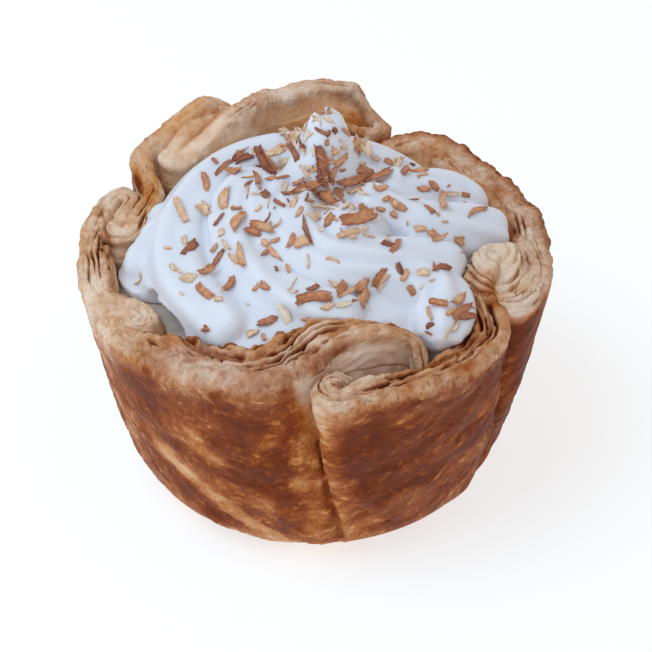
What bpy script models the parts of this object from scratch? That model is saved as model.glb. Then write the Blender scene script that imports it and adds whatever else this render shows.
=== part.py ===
"""A deep single-serving cream pie: a folded puff-pastry cup, its custard, and piped cream with toasted coconut.

The pie stands on the XY plane with its axis on Z. The side with the deepest fold of the pastry faces -Y.
Lengths in this file are millimetres and angles are degrees, until in_metres() makes the finished objects.
"""

import math
import random

import bmesh
import bpy
import numpy as np
from mathutils import Matrix, Vector, noise
from mathutils.bvhtree import BVHTree

GAP = 0.4  # between two foods that touch
MOST_TRIANGLES = {"crust": 6300, "cream": 3900}  # before the flakes are fused to the cream

# The cup: the outside of the pastry, as the baking tin left it.
BASE_RADIUS = 35.0
BASE_CORNER = 8.0  # radius of the rounded foot
WALL_BULGE = 0.72  # 1 for a straight taper; below it the wall swells outwards
RIM_RADIUS = 48.0
RIM_HEIGHT = 50.0
WALL_THICKNESS = 5.0
FLOOR_THICKNESS = 5.0
THICKENS = (32.0, 47.0)  # heights between which the wall grows to the thickness of the rim
FOLD_FOOT = 6.0  # height where the folds start
FOLD_TOP = 40.0  # height where they are fully closed
RIM_ROUNDING = 1.5  # how far the rim's outer edge is rounded down
LIFT_FOOT = 25.0  # height from which the wall is stretched up to the rim's own heights
RIM_LAYERS = 4  # thick enough to see on the cut edge
LAYER_GROOVE = 1.2
OPENED_OVER = 90.0  # length over which the folds are evened out below FOLD_FOOT

# The pastry goes round as six strips. Each starts at its seam, runs counter-clockwise over the rows of its
# edge, and ends in a tongue that is tucked behind the next strip.
# seam: angle. overlap: length of the tongue. ramp: length in which it slips behind the next strip.
# pitch: distance between folded layers. edge: rows of angle, height of the rim, thickness of the pastry there.
STRIPS = {
    "right_back": {
        "seam": -24.0, "overlap": 6.0, "ramp": 12.0, "pitch": 4.2,
        "edge": [
            (-24, 49.5, 6.0), (-12, 51.5, 7.0), (4, 51.5, 8.5), (24, 52.0, 10.5), (38, 51.5, 11.0),
            (52, 53.0, 9.0), (62, 51.0, 6.5), (70, 50.0, 5.0), (80, 54.0, 4.0),
        ],
    },
    "back": {
        "seam": 75.0, "overlap": 15.0, "ramp": 14.0, "pitch": 4.2,
        "edge": [
            (75, 52.0, 4.2), (80, 61.5, 4.6), (90, 61.5, 4.8), (99, 58.5, 4.6), (120, 57.0, 4.2),
            (140, 54.5, 4.0),
        ],
    },
    "back_left": {
        "seam": 118.0, "overlap": 10.0, "ramp": 14.0, "pitch": 4.4,
        "edge": [
            (113, 58.0, 4.2), (119, 62.0, 4.4), (126, 60.5, 4.6), (132, 58.0, 4.8), (143, 56.0, 4.8),
            (158, 53.5, 4.8), (176, 53.0, 4.8),
        ],
    },
    "left": {
        "seam": 161.0, "overlap": 1.5, "ramp": 9.0, "pitch": 4.8,
        "edge": [(161, 50.5, 4.8), (174, 52.5, 6.0), (190, 52.0, 8.0), (200, 51.5, 7.5), (210, 51.5, 5.0)],
    },
    "front_left": {
        "seam": 209.0, "overlap": 18.5, "ramp": 20.0, "pitch": 5.4,
        "edge": [
            (209, 49.5, 5.4), (218, 50.5, 7.5), (235, 51.0, 10.0), (254, 52.0, 11.0), (268, 54.0, 9.0),
            (285, 57.0, 7.0), (300, 55.0, 5.4),
        ],
    },
    "front_right": {
        "seam": 276.0, "overlap": 8.0, "ramp": 14.0, "pitch": 4.8,
        "edge": [
            (276, 50.0, 7.0), (286, 50.5, 9.0), (300, 50.0, 9.0), (312, 50.0, 8.0), (328, 52.0, 7.5),
            (338, 55.0, 7.0), (347, 56.0, 6.8),
        ],
    },
}
PATH_STEP = 0.5  # spacing of the points that the folded path is worked out on
CRUST_STEP = 3  # path points between two columns of the crust's mesh

# The custard fills the cup to below the rim. It shows in the recess, where the cream stays back.
CUSTARD_LEVEL = 46.0
CUSTARD_GAP = 0.8  # to the pastry, whose folds run between the custard's flat sides
RECESS_ANGLE = 217.0
RECESS_HALF_WIDTH = 19.0
RECESS_DEPTH = 8.5
PLUG_STEP = 8  # degrees between two columns of the custard's mesh

# Each rope of piped cream winds clockwise and inward up the mound.
# Rows of x, y, height of the crest, thickness.
SWIRL_CENTRE = (2.0, 6.0)
ROPES = {
    "left": [
        (-16, -31, 53.5, 13), (-22, -23, 55, 15), (-27, -10, 56, 17), (-26, 6, 57, 16), (-18, 21, 59, 15),
        (-4, 27, 60, 14), (11, 25.5, 58, 13), (23, 20, 53, 12), (31, 9, 51, 10),
    ],
    "front": [
        (12, -23, 55.5, 11), (3, -23, 57, 13), (-7, -18, 58, 13), (-14, -6, 59.5, 13), (-15, 7, 61, 13),
        (-7, 18, 62, 12),
    ],
    "front_right": [
        (25, -33, 53, 13), (24, -19, 57.5, 14), (15, -15, 59, 11), (4, -15, 60, 10), (-6, -8, 61.5, 11),
        (-9, 3, 63, 12), (-4, 13, 65, 12),
    ],
    "right": [
        (31, -9, 57, 13), (21, -10, 59.5, 12), (11, -12, 61, 10), (2, -11, 62, 10), (-3, -3, 64, 11),
        (-2, 7, 66, 11),
    ],
    "left_foot": [(-31, -17, 50, 9), (-35, -8, 50.5, 10), (-35, 3, 51.5, 10), (-30, 13, 53, 10)],
    "far_right": [(39, 5, 53, 11), (32, 3, 57, 12), (23, 1, 59.5, 12), (14, 3, 62, 11), (7, 8, 65, 10)],
    "back_right": [(36, 13, 53, 11), (27, 14, 58.5, 12), (18, 12, 60.5, 12), (9, 12, 64, 11)],
    "back": [(24, 15, 53, 9), (14, 19, 56.5, 11), (3, 21, 58.5, 11)],
}
ROPE_STEPS = 6  # between two rows
CREAM_BASE_TOP = 48.5  # a flat bed of cream lies under the ropes
RECESS_TOP = 53.5  # above it the cream hangs over the recess
DOME_CENTRE = (6.5, -5.5, 55.5)
DOME_RADIUS = 8.8
# The tail of the swirl leans back: rows of height and radius.
PEAK_FOOT = (1.5, 9.0)
PEAK_TIP = (2.5, 14.0)
PEAK = [(56.0, 11.5), (59.0, 10.0), (62.0, 8.0), (66.5, 6.0), (70.0, 4.6), (73.0, 3.2), (75.3, 1.6), (76.2, 0.6)]

# Toasted coconut flakes. Rows of x, y, direction, length and width of the large ones.
LARGE_FLAKES = [
    (2, 6, 99, 9.5, 3.0), (-3, 10, 100, 8.0, 2.2), (10, 8, 20, 13.0, 2.0), (-2, 1, 38, 9.0, 2.0),
    (8, -9, 30, 10.0, 4.0), (-2, -10, 101, 9.0, 1.3), (-10, -7, 150, 8.0, 2.8), (-15, -5, 73, 6.3, 2.6),
    (-9, 9, 125, 6.5, 2.4), (-15, 20, 26, 4.5, 2.6), (-16, 12, 109, 6.0, 2.6), (-22, 13, 102, 11.0, 1.9),
    (-18, 4, 95, 8.0, 2.2), (-27, 4, 108, 8.0, 1.8), (-24, -8, 71, 5.5, 4.2), (-19, -10, 20, 4.5, 1.6),
    (-14, -13, 104, 6.5, 1.9), (-21, -14, 60, 6.0, 1.8), (-21, -19, 136, 5.6, 1.9), (1, -23, 15, 11.0, 2.8),
    (-8, -25, 178, 4.6, 2.2), (8, -21, 40, 6.5, 1.9), (12, -19, 48, 5.0, 1.8), (17, -18, 114, 4.8, 1.8),
    (24, -16, 20, 5.5, 1.8), (24, -23, 164, 6.0, 2.0), (27, -21, 53, 5.0, 3.0), (16, 0, 147, 5.6, 2.6),
    (20, 10, 173, 5.9, 2.6), (23, -4, 139, 6.9, 2.0), (13, 4, 55, 4.5, 1.8), (28, 9, 60, 4.5, 1.6),
]
SMALL_FLAKES = 34
SMALL_LENGTH = (1.8, 4.0)
SMALL_WIDTH = (0.8, 1.6)
FLAKE_THICKNESS = 0.8
FLAKE_SEED = 7
FLAKE_SPREAD = 15.0  # standard deviation of the small ones' distance from the swirl's centre
FLAKES_WITHIN = 31.0


def smooth_step(x):
    x = min(max(x, 0.0), 1.0)
    return x * x * (3 - 2 * x)


def outer_radius(z):
    """Radius of the cup's outside at a height: a rounded foot, then a wall that swells a little."""
    radius = BASE_RADIUS + (RIM_RADIUS - BASE_RADIUS) * (z / RIM_HEIGHT) ** WALL_BULGE
    if z < BASE_CORNER:
        radius -= BASE_CORNER - math.sqrt(BASE_CORNER**2 - (BASE_CORNER - z) ** 2)
    return radius


def fold_strength(z):
    """How far the folds are closed at a height, from 0 at the foot to 1 near the rim."""
    return smooth_step((z - FOLD_FOOT) / (FOLD_TOP - FOLD_FOOT))


def strip_points():
    """The folded path round the rim: rows of angle, inset from the outer layer, height, thickness."""
    rows = []
    strips = list(STRIPS.values())
    degrees_per_mm = math.degrees(1 / (RIM_RADIUS - WALL_THICKNESS / 2))
    for strip, following in zip(strips, strips[1:] + strips[:1]):
        next_seam = following["seam"] + (360 if following is strips[0] else 0)
        pitch = strip["pitch"]
        tip = next_seam + strip["overlap"] * degrees_per_mm
        ramp = strip["ramp"] * degrees_per_mm
        angles, heights, thicknesses = zip(*strip["edge"])
        steps = int((tip - strip["seam"]) / degrees_per_mm / PATH_STEP)
        for angle in np.linspace(strip["seam"], tip, steps, endpoint=False):  # the strip and its tongue
            inset = 2 * pitch * smooth_step((angle - next_seam + ramp) / ramp)
            height = np.interp(angle, angles, heights)
            rows.append((angle, inset, height, np.interp(angle, angles, thicknesses)))
        turn = pitch / 2 * degrees_per_mm
        start_height, start_thickness = following["edge"][0][1:]
        for t in np.linspace(-math.pi / 2, math.pi / 2, 9, endpoint=False):  # round the tongue's tip
            inset = pitch * (1.5 - math.sin(t) / 2)
            rows.append((tip + turn * math.cos(t), inset, heights[-1], thicknesses[-1]))
        for share in np.linspace(0, 1, int(strip["overlap"] / PATH_STEP), endpoint=False):  # back to the seam
            height = heights[-1] + (start_height - heights[-1]) * share - 1.5 * math.sin(math.pi * share)
            thickness = thicknesses[-1] + (start_thickness - thicknesses[-1]) * share
            rows.append((tip + (next_seam - tip) * share, pitch, height, thickness))
        for t in np.linspace(-math.pi / 2, math.pi / 2, 9, endpoint=False):  # round the fold at the seam
            inset = pitch * (0.5 - math.sin(t) / 2)
            rows.append((next_seam - turn * math.cos(t), inset, start_height, start_thickness))
    return np.array(rows)


def spaced_evenly(rows):
    """The same closed path with points PATH_STEP apart."""
    rows = np.vstack([rows, rows[0] + [360, 0, 0, 0]])
    radius = RIM_RADIUS - WALL_THICKNESS / 2 - rows[:, 1]
    around = np.diff(np.radians(rows[:, 0])) * (radius[1:] + radius[:-1]) / 2
    steps = np.hypot(around, np.diff(rows[:, 1]))
    length = np.concatenate([[0], np.cumsum(steps)])
    places = np.linspace(0, length[-1], int(length[-1] / PATH_STEP), endpoint=False)
    return np.stack([np.interp(places, length, column) for column in rows.T], axis=1)


def evened(values, points, turn=0.0):
    """A moving average round a closed path. turn is what the values gain in one round."""
    before = np.concatenate([values - turn, values, values + turn])
    summed = np.cumsum(np.concatenate([[0], before]))
    start = len(values) + np.arange(len(values)) - points // 2
    return (summed[start + points] - summed[start]) / points


class FoldedPath:
    """The pastry's centre line round the cup, at any height."""

    def __init__(self):
        rows = spaced_evenly(strip_points())
        short = int(2.0 / PATH_STEP)
        self.angle = evened(rows[:, 0], short, 360)
        self.inset = evened(rows[:, 1], short)
        self.height = evened(rows[:, 2], 3 * short)
        self.rim_thickness = evened(rows[:, 3], 2 * short)
        self.open_angle = evened(rows[:, 0], int(OPENED_OVER / PATH_STEP), 360)

    def thickness(self, z):
        share = smooth_step((z - THICKENS[0]) / (THICKENS[1] - THICKENS[0]))
        return WALL_THICKNESS + (self.rim_thickness - WALL_THICKNESS) * share

    def centre(self, z):
        angle = np.radians(self.open_angle + (self.angle - self.open_angle) * fold_strength(z))
        radius = outer_radius(z) - self.thickness(z) / 2 - self.inset * fold_strength(z)
        return np.stack([radius * np.cos(angle), radius * np.sin(angle)], axis=1)

    def side(self, z, which):
        """The outer (1) or inner (-1) face at a height, or any share between."""
        centre = self.centre(z)
        ahead = np.roll(centre, -2, axis=0) - np.roll(centre, 2, axis=0)
        outward = np.stack([ahead[:, 1], -ahead[:, 0]], axis=1)
        outward /= np.linalg.norm(outward, axis=1)[:, None]
        return centre + outward * (self.thickness(z) / 2 * which)[:, None]


def food_material(name, colour, roughness):
    material = bpy.data.materials.new(name)
    material.use_nodes = True
    shader = material.node_tree.nodes["Principled BSDF"]
    shader.inputs["Base Color"].default_value = (*colour, 1)
    shader.inputs["Roughness"].default_value = roughness
    shader.inputs["Metallic"].default_value = 0
    return material


def new_object(name, bm, material=None):
    mesh = bpy.data.meshes.new(name)
    bm.to_mesh(mesh)
    bm.free()
    obj = bpy.data.objects.new(name, mesh)
    bpy.context.scene.collection.objects.link(obj)
    if material:
        mesh.materials.append(material)
    return obj


def apply_modifier(obj, kind, **settings):
    modifier = obj.modifiers.new(kind.lower(), kind)
    for key, value in settings.items():
        setattr(modifier, key, value)
    graph = bpy.context.evaluated_depsgraph_get()
    mesh = bpy.data.meshes.new_from_object(obj.evaluated_get(graph))
    obj.modifiers.clear()
    old = obj.data
    obj.data = mesh
    bpy.data.meshes.remove(old)


def triangle_count(obj):
    return sum(len(polygon.vertices) - 2 for polygon in obj.data.polygons)


def ray_tree(obj):
    mesh = obj.data
    return BVHTree.FromPolygons([v.co for v in mesh.vertices], [p.vertices for p in mesh.polygons])


def keep_largest_shell(obj):
    """Drops loose scraps and fills sealed hollows: only the surface with the most vertices stays."""
    bm = bmesh.new()
    bm.from_mesh(obj.data)
    unseen = set(bm.verts)
    shells = []
    while unseen:
        front = [unseen.pop()]
        shell = []
        while front:
            vert = front.pop()
            shell.append(vert)
            others = [edge.other_vert(vert) for edge in vert.link_edges]
            fresh = [other for other in others if other in unseen]
            unseen.difference_update(fresh)
            front.extend(fresh)
        shells.append(shell)
    shells.sort(key=len)
    for shell in shells[:-1]:
        bmesh.ops.delete(bm, geom=shell, context="VERTS")
    bmesh.ops.triangulate(bm, faces=bm.faces)
    bm.to_mesh(obj.data)
    bm.free()


def add_rings(bm, rings):
    """Adds a closed surface through rings of as many points each. Its two ends are flat."""
    rows = [[bm.verts.new(point) for point in ring] for ring in rings]
    for below, above in zip(rows, rows[1:]):
        for i in range(-1, len(below) - 1):
            bm.faces.new((below[i], below[i + 1], above[i + 1], above[i]))
    bm.faces.new(reversed(rows[0]))
    bm.faces.new(rows[-1])


def crust_rings(path):
    """The pastry from the middle of its underside, up the outside, over the rim and down to the cup's floor."""
    lift = (path.height - RIM_HEIGHT)[::CRUST_STEP]

    def ring(level, which, inward=1.0, crown=0.0):
        flat = path.side(level, which)[::CRUST_STEP] * inward
        if crown == 0:
            crown = -RIM_ROUNDING * smooth_step((level - 44.0) / 6.0)
        raised = level + crown + lift * smooth_step((level - LIFT_FOOT) / (RIM_HEIGHT - LIFT_FOOT))
        return np.column_stack([flat, raised])

    levels = [0.0, 1.2, 3.5, 6.0, 10.0, 15.0, 20.0, 25.0, 30.0, 35.0, 40.0, 44.0, 47.0, RIM_HEIGHT]
    rings = [ring(0.0, 1, inward=0.5)]
    rings += [ring(level, 1) for level in levels]
    for i in range(1, 2 * RIM_LAYERS):  # layers of the cut edge, with a groove between two of them
        share = 1 - i / RIM_LAYERS
        groove = 0.0 if i % 2 else LAYER_GROOVE
        rings.append(ring(RIM_HEIGHT, share, crown=-RIM_ROUNDING * share**4 - groove))
    rings += [ring(level, -1) for level in reversed(levels) if level > FLOOR_THICKNESS + 3]
    rings += [ring(FLOOR_THICKNESS + 2, -1), ring(FLOOR_THICKNESS, -1, inward=0.93)]
    rings += [ring(FLOOR_THICKNESS, -1, inward=0.5)]
    return rings


def pastry_relief(point):
    """Blisters and dents of the baked pastry, as a distance outward."""
    near = point / 9.0
    return 0.55 * noise.noise(near) + 0.25 * noise.noise(near * 2.7 + Vector((5, 1, 2)))


def make_crust(path):
    bm = bmesh.new()
    add_rings(bm, crust_rings(path))
    bm.normal_update()
    for vert in bm.verts:
        if vert.co.z > 1.0:
            vert.co += vert.normal * pastry_relief(vert.co)
    crust = new_object("crust", bm, food_material("baked_puff_pastry", (0.55, 0.27, 0.10), 0.55))
    apply_modifier(crust, "REMESH", mode="VOXEL", voxel_size=0.7)
    keep_largest_shell(crust)
    apply_modifier(crust, "DECIMATE", ratio=MOST_TRIANGLES["crust"] / triangle_count(crust))
    return crust


class Room:
    """How far from the axis the space inside the cup reaches, by angle and height."""

    ANGLE_STEP = 2
    HEIGHT_STEP = 1.0
    BEYOND = 44.0  # above the rim

    def __init__(self, crust):
        tree = ray_tree(crust)
        self.angles = np.arange(0, 360, self.ANGLE_STEP)
        self.heights = np.arange(8.0, 80.0, self.HEIGHT_STEP)
        reach = np.full((len(self.heights), len(self.angles)), self.BEYOND)
        for row, z in enumerate(self.heights):
            for column, angle in enumerate(np.radians(self.angles)):
                direction = Vector((math.cos(angle), math.sin(angle), 0))
                distance = tree.ray_cast(Vector((0, 0, z)), direction)[3]
                reach[row, column] = min(distance or self.BEYOND, self.BEYOND)
        opened = self.around(np.maximum, self.around(np.minimum, reach, 2), 2)  # without the folds' slits
        nearest = self.around(np.minimum, opened, 1)
        self.reach = np.minimum.reduce([np.roll(nearest, shift, axis=0) for shift in (-1, 0, 1)])

    @staticmethod
    def around(pick, table, columns):
        """The least or the greatest value within some columns to either side."""
        return pick.reduce([np.roll(table, shift, axis=1) for shift in range(-columns, columns + 1)])

    def at(self, angle, z):
        """Between the table's rows and columns, angle in radians."""
        column = (math.degrees(angle) % 360) / self.ANGLE_STEP
        row = min(max((z - self.heights[0]) / self.HEIGHT_STEP, 0), len(self.heights) - 2)
        first, below = int(column), int(row)
        share = column - first
        lower, upper = self.reach[below], self.reach[below + 1]
        second = (first + 1) % len(self.angles)
        low = lower[first] * (1 - share) + lower[second] * share
        high = upper[first] * (1 - share) + upper[second] * share
        return low + (high - low) * (row - below)


def add_plug(bm, room, low, high, steps, inward):
    """Fills the cup between two heights. inward(angle) is the distance that it keeps from the pastry."""
    around = np.radians(np.arange(0, 360, PLUG_STEP))
    beside = np.radians((-PLUG_STEP / 2, 0, PLUG_STEP / 2))
    rings = []
    for z in np.linspace(low, high, steps):
        radius = [min(room.at(angle + turn, z) for turn in beside) - inward(angle) for angle in around]
        rings.append([(r * math.cos(a), r * math.sin(a), z) for r, a in zip(radius, around)])
    add_rings(bm, rings)


def make_custard(room):
    bm = bmesh.new()
    add_plug(bm, room, FLOOR_THICKNESS + 4.0, CUSTARD_LEVEL, 10, lambda angle: CUSTARD_GAP)
    return new_object("custard", bm, food_material("vanilla_custard", (0.55, 0.50, 0.38), 0.4))


def recess(angle):
    """How far the cream stays back from the pastry in one direction, angle in radians."""
    away = abs((math.degrees(angle) - RECESS_ANGLE + 180) % 360 - 180)
    return RECESS_DEPTH * (1 - smooth_step(away / RECESS_HALF_WIDTH))


def add_tube(bm, centres, radii, sides=16):
    """A round tube along a line of points, with a radius for each point."""
    rings = []
    for i, (centre, radius) in enumerate(zip(centres, radii)):
        ahead = centres[min(i + 1, len(centres) - 1)] - centres[max(i - 1, 0)]
        across = ahead.cross(Vector((0, 0, 1))).normalized()
        upward = across.cross(ahead).normalized()
        turns = [2 * math.pi * k / sides for k in range(sides)]
        rings.append([centre + (across * math.cos(t) + upward * math.sin(t)) * radius for t in turns])
    add_rings(bm, rings)


def through(rows, steps):
    """A smooth line through rows of numbers, with steps points between two rows."""
    rows = [Vector(row) for row in rows]
    rows = [2 * rows[0] - rows[1], *rows, 2 * rows[-1] - rows[-2]]
    line = []
    for a, b, c, d in zip(rows, rows[1:], rows[2:], rows[3:]):
        for t in np.linspace(0, 1, steps, endpoint=False):
            bend = (2 * a - 5 * b + 4 * c - d) * t**2 + (3 * b - a - 3 * c + d) * t**3
            line.append(b + ((c - a) * t + bend) / 2)
    return line + [rows[-2]]


def add_rope(bm, rows):
    line = through(rows, ROPE_STEPS)
    centres = [Vector((x, y, crest - thickness / 2)) for x, y, crest, thickness in line]
    radii = [row[3] / 2 for row in line]
    for i, share in enumerate((0.25, 0.65, 0.88, 0.97)):  # round its ends
        radii[i] *= share
        radii[-1 - i] *= share
    add_tube(bm, centres, radii)


def add_peak(bm):
    foot, tip = Vector(PEAK_FOOT), Vector(PEAK_TIP)
    rings = []
    for height, radius in PEAK:
        share = (height - PEAK[0][0]) / (PEAK[-1][0] - PEAK[0][0])
        x, y = foot.lerp(tip, share)
        turns = [2 * math.pi * k / 20 for k in range(20)]
        rings.append([(x + radius * math.cos(t), y + radius * math.sin(t), height) for t in turns])
    add_rings(bm, rings)


def keep_inside(obj, room, clearance, lowest):
    """Moves the vertices that are too near the pastry or the custard back to where they are clear."""
    for vert in obj.data.vertices:
        co = vert.co
        angle = math.atan2(co.y, co.x)
        limit = room.at(angle, co.z) - clearance - (recess(angle) if co.z < RECESS_TOP else 0)
        radius = math.hypot(co.x, co.y)
        if radius > limit:
            co.x *= limit / radius
            co.y *= limit / radius
        co.z = max(co.z, lowest)


def make_cream(room):
    bm = bmesh.new()
    lowest = CUSTARD_LEVEL + GAP
    add_plug(bm, room, lowest, CREAM_BASE_TOP, 4, lambda angle: GAP + recess(angle))
    for row in ROPES.values():
        add_rope(bm, row)
    place = Matrix.Translation(DOME_CENTRE)
    bmesh.ops.create_uvsphere(bm, u_segments=24, v_segments=16, radius=DOME_RADIUS, matrix=place)
    add_peak(bm)
    cream = new_object("cream", bm, food_material("whipped_cream", (0.86, 0.88, 0.90), 0.35))
    keep_inside(cream, room, GAP, lowest)
    apply_modifier(cream, "REMESH", mode="VOXEL", voxel_size=0.7)
    keep_largest_shell(cream)
    apply_modifier(cream, "SMOOTH", factor=0.5, iterations=8)
    keep_inside(cream, room, GAP, lowest)
    apply_modifier(cream, "DECIMATE", ratio=MOST_TRIANGLES["cream"] / triangle_count(cream))
    keep_inside(cream, room, GAP + 0.4, lowest)
    return cream


def flake_rows():
    """The large flakes, then small ones scattered most densely round the middle."""
    chance = random.Random(FLAKE_SEED)
    rows = list(LARGE_FLAKES)
    while len(rows) < len(LARGE_FLAKES) + SMALL_FLAKES:
        angle = chance.uniform(0, 2 * math.pi)
        away = abs(chance.gauss(0, FLAKE_SPREAD))
        x = SWIRL_CENTRE[0] + away * math.cos(angle)
        y = SWIRL_CENTRE[1] - 3 + away * math.sin(angle)
        size = (chance.uniform(*SMALL_LENGTH), chance.uniform(*SMALL_WIDTH))
        direction = chance.uniform(0, 180)
        if math.hypot(x, y) < FLAKES_WITHIN:
            rows.append((x, y, direction, *size))
    return rows


def make_flake(tree, row):
    """One shred: a thin six-cornered plate that lies along the cream, half sunk in it."""
    x, y, direction, length, width = row
    ground, normal, _, _ = tree.ray_cast(Vector((x, y, 120)), Vector((0, 0, -1)))
    along = Vector((math.cos(math.radians(direction)), math.sin(math.radians(direction)), 0))
    along = (along - normal * along.dot(normal)).normalized()
    across = normal.cross(along)
    outline = [(-0.5, 0), (-0.25, -0.5), (0.3, -0.42), (0.5, 0.08), (0.2, 0.5), (-0.3, 0.4)]
    if length < SMALL_LENGTH[1]:
        outline = [(-0.5, 0.1), (-0.1, -0.5), (0.5, -0.1), (0.1, 0.5)]
    bm = bmesh.new()
    rings = []
    for side in (-1, 1):
        middle = ground + normal * (FLAKE_THICKNESS * (0.25 + side / 2))
        rings.append([middle + along * length * u + across * width * v for u, v in outline])
    add_rings(bm, rings)
    return new_object("flake", bm)


def fuse_flakes(cream):
    tree = ray_tree(cream)
    collection = bpy.data.collections.new("flakes")
    bpy.context.scene.collection.children.link(collection)
    for row in flake_rows():
        flake = make_flake(tree, row)
        bpy.context.scene.collection.objects.unlink(flake)
        collection.objects.link(flake)
    settings = {"operation": "UNION", "operand_type": "COLLECTION", "collection": collection, "solver": "EXACT"}
    apply_modifier(cream, "BOOLEAN", **settings)
    for flake in list(collection.objects):
        bpy.data.objects.remove(flake)
    bpy.data.collections.remove(collection)
    keep_largest_shell(cream)


def in_metres(objects):
    for obj in objects:
        obj.data.transform(Matrix.Scale(0.001, 4))
        obj.data.shade_smooth()
        obj.data.set_sharp_from_angle(angle=math.radians(50))


def main():
    for old in list(bpy.data.objects):
        bpy.data.objects.remove(old)
    crust = make_crust(FoldedPath())
    room = Room(crust)
    custard = make_custard(room)
    cream = make_cream(room)
    fuse_flakes(cream)
    in_metres([crust, custard, cream])


if __name__ == "__main__":
    main()
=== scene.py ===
import math
from types import SimpleNamespace

import bmesh
import bpy
import numpy as np
from mathutils import Matrix, Vector
from mathutils.bvhtree import BVHTree


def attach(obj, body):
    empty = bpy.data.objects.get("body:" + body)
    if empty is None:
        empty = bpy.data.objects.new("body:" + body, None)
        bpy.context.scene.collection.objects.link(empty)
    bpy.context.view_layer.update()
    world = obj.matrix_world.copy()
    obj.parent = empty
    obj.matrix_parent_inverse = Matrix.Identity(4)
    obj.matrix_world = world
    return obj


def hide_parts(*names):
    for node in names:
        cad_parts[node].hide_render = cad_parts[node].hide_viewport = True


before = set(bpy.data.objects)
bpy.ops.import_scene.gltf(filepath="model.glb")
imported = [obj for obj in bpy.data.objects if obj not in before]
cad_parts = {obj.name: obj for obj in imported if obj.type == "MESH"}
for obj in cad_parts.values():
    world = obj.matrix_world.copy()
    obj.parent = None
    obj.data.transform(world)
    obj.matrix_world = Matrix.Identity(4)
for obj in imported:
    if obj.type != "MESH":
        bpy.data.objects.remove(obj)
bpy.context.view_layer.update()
mm = 0.001  # lengths below are millimetres, heights are above the board, angles are degrees


def smoothStep(x):
    x = np.clip(x, 0.0, 1.0)
    return x * x * (3 - 2 * x)


def bump(x, width):
    # 1 at zero, falling off to both sides
    return np.exp(-(x / width) ** 2)


lattice = np.random.default_rng(11).uniform(-1, 1, (64, 64, 64))


def noiseAt(points, *scales, octaves=1, shift=0.0):
    # smooth noise from -1 to 1; scales are the size of a lump along x, y and z
    scales = scales * 3 if len(scales) == 1 else scales
    total, share = 0.0, 1.0
    for octave in range(octaves):
        place = points / np.array(scales) * 2**octave + shift + 7.3 * octave
        cell = np.floor(place).astype(int)
        part = place - cell
        part = part * part * (3 - 2 * part)
        cell %= 64
        beyond = (cell + 1) % 64
        value = 0.0
        for corner in range(8):
            weight = 1.0
            index = []
            for axis in range(3):
                far = corner >> axis & 1
                index.append((beyond if far else cell)[..., axis])
                weight = weight * (part[..., axis] if far else 1 - part[..., axis])
            value = value + weight * lattice[tuple(index)]
        total = total + share * value
        share *= 0.5
    return total


def hexColour(code):
    # sRGB hex to the linear values that the shaders use
    channels = [int(code[i:i + 2], 16) / 255 for i in (1, 3, 5)]
    return (*[c / 12.92 if c <= 0.04045 else ((c + 0.055) / 1.055) ** 2.4 for c in channels], 1.0)


def meshObject(name, bm):
    mesh = bpy.data.meshes.new(name)
    bm.to_mesh(mesh)
    bm.free()
    mesh.shade_smooth()
    piece = bpy.data.objects.new(name, mesh)
    bpy.context.scene.collection.objects.link(piece)
    return piece


def joinInto(bm, part):
    mesh = bpy.data.meshes.new("part")
    part.to_mesh(mesh)
    part.free()
    bm.from_mesh(mesh)
    bpy.data.meshes.remove(mesh)


def applyModifier(piece, kind, **settings):
    modifier = piece.modifiers.new(kind.lower(), kind)
    for key, value in settings.items():
        setattr(modifier, key, value)
    graph = bpy.context.evaluated_depsgraph_get()
    old = piece.data
    made = bpy.data.meshes.new_from_object(piece.evaluated_get(graph))
    piece.modifiers.clear()
    piece.data = made
    bpy.data.meshes.remove(old)


def addNode(tree, kind, feeds=None, stops=(), **settings):
    # a node with its settings; feeds gives each input its link or its value, stops are a ramp's colours
    node = tree.nodes.new(kind)
    for key, value in settings.items():
        setattr(node, key, value)
    for key, feed in (feeds or {}).items():
        if isinstance(feed, bpy.types.NodeSocket):
            tree.links.new(feed, node.inputs[key])
        else:
            node.inputs[key].default_value = feed
    while stops and len(node.color_ramp.elements) < len(stops):
        node.color_ramp.elements.new(0.5)
    for i, (position, colour) in enumerate(stops):
        node.color_ramp.elements[i].position = position
        node.color_ramp.elements[i].color = hexColour(colour)
    return node


def newMaterial(name, constants):
    # constants are the shader's inputs that are the same all over
    material = bpy.data.materials.new(name)
    material.use_nodes = True
    shader = material.node_tree.nodes["Principled BSDF"]
    for key, value in constants.items():
        shader.inputs[key].default_value = value
    return material, material.node_tree, shader


# the pastry cup
pastryCup = {
    "baseRadius": 35.0,
    "baseCorner": 8.0,  # radius of the rounded foot
    "bulge": 0.72,  # 1 for a straight wall; below it the wall swells outwards
    "rimRadius": 48.0,
    "rimHeight": 50.0,
    "wall": 5.0,
    "thickens": (32.0, 47.0),  # heights between which the wall grows to the rim's thickness
    "foldFoot": 2.0,  # heights where the sheet starts to double up and where it is fully doubled
    "foldTop": 26.0,
    "tuckFoot": 22.0,  # heights where the doubled layers start to stand in and where they do so fully
    "tuckTop": 48.0,
    "tuckLeast": 0.13,  # share of that depth below
    # seams that lean: the angle, how far they have turned at the foot, and how wide round them
    "sway": [(276.0, 10.0, 25.0), (209.0, 12.0, 22.0)],
    "liftFoot": 25.0,  # from here up the wall grows to the rim's own height
    "openedOver": 90.0,  # length over which the folds even out where the wall isn't folded
    "roundedOver": 2.0,  # lengths over which the folds, the rim's height and its finish even out
    "levelledOver": 4.0,
    "blendedOver": 3.0,
    "outerEdge": 3.6,  # radii of the rim's two edges
    "innerEdge": 1.8,
    "joint": 43.0,  # height where the wall's mesh ends and the rim's starts
    "liningTop": 45.0,
    "meanRadius": 44.0,
    "step": 0.39,  # between two columns of the mesh
}

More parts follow.
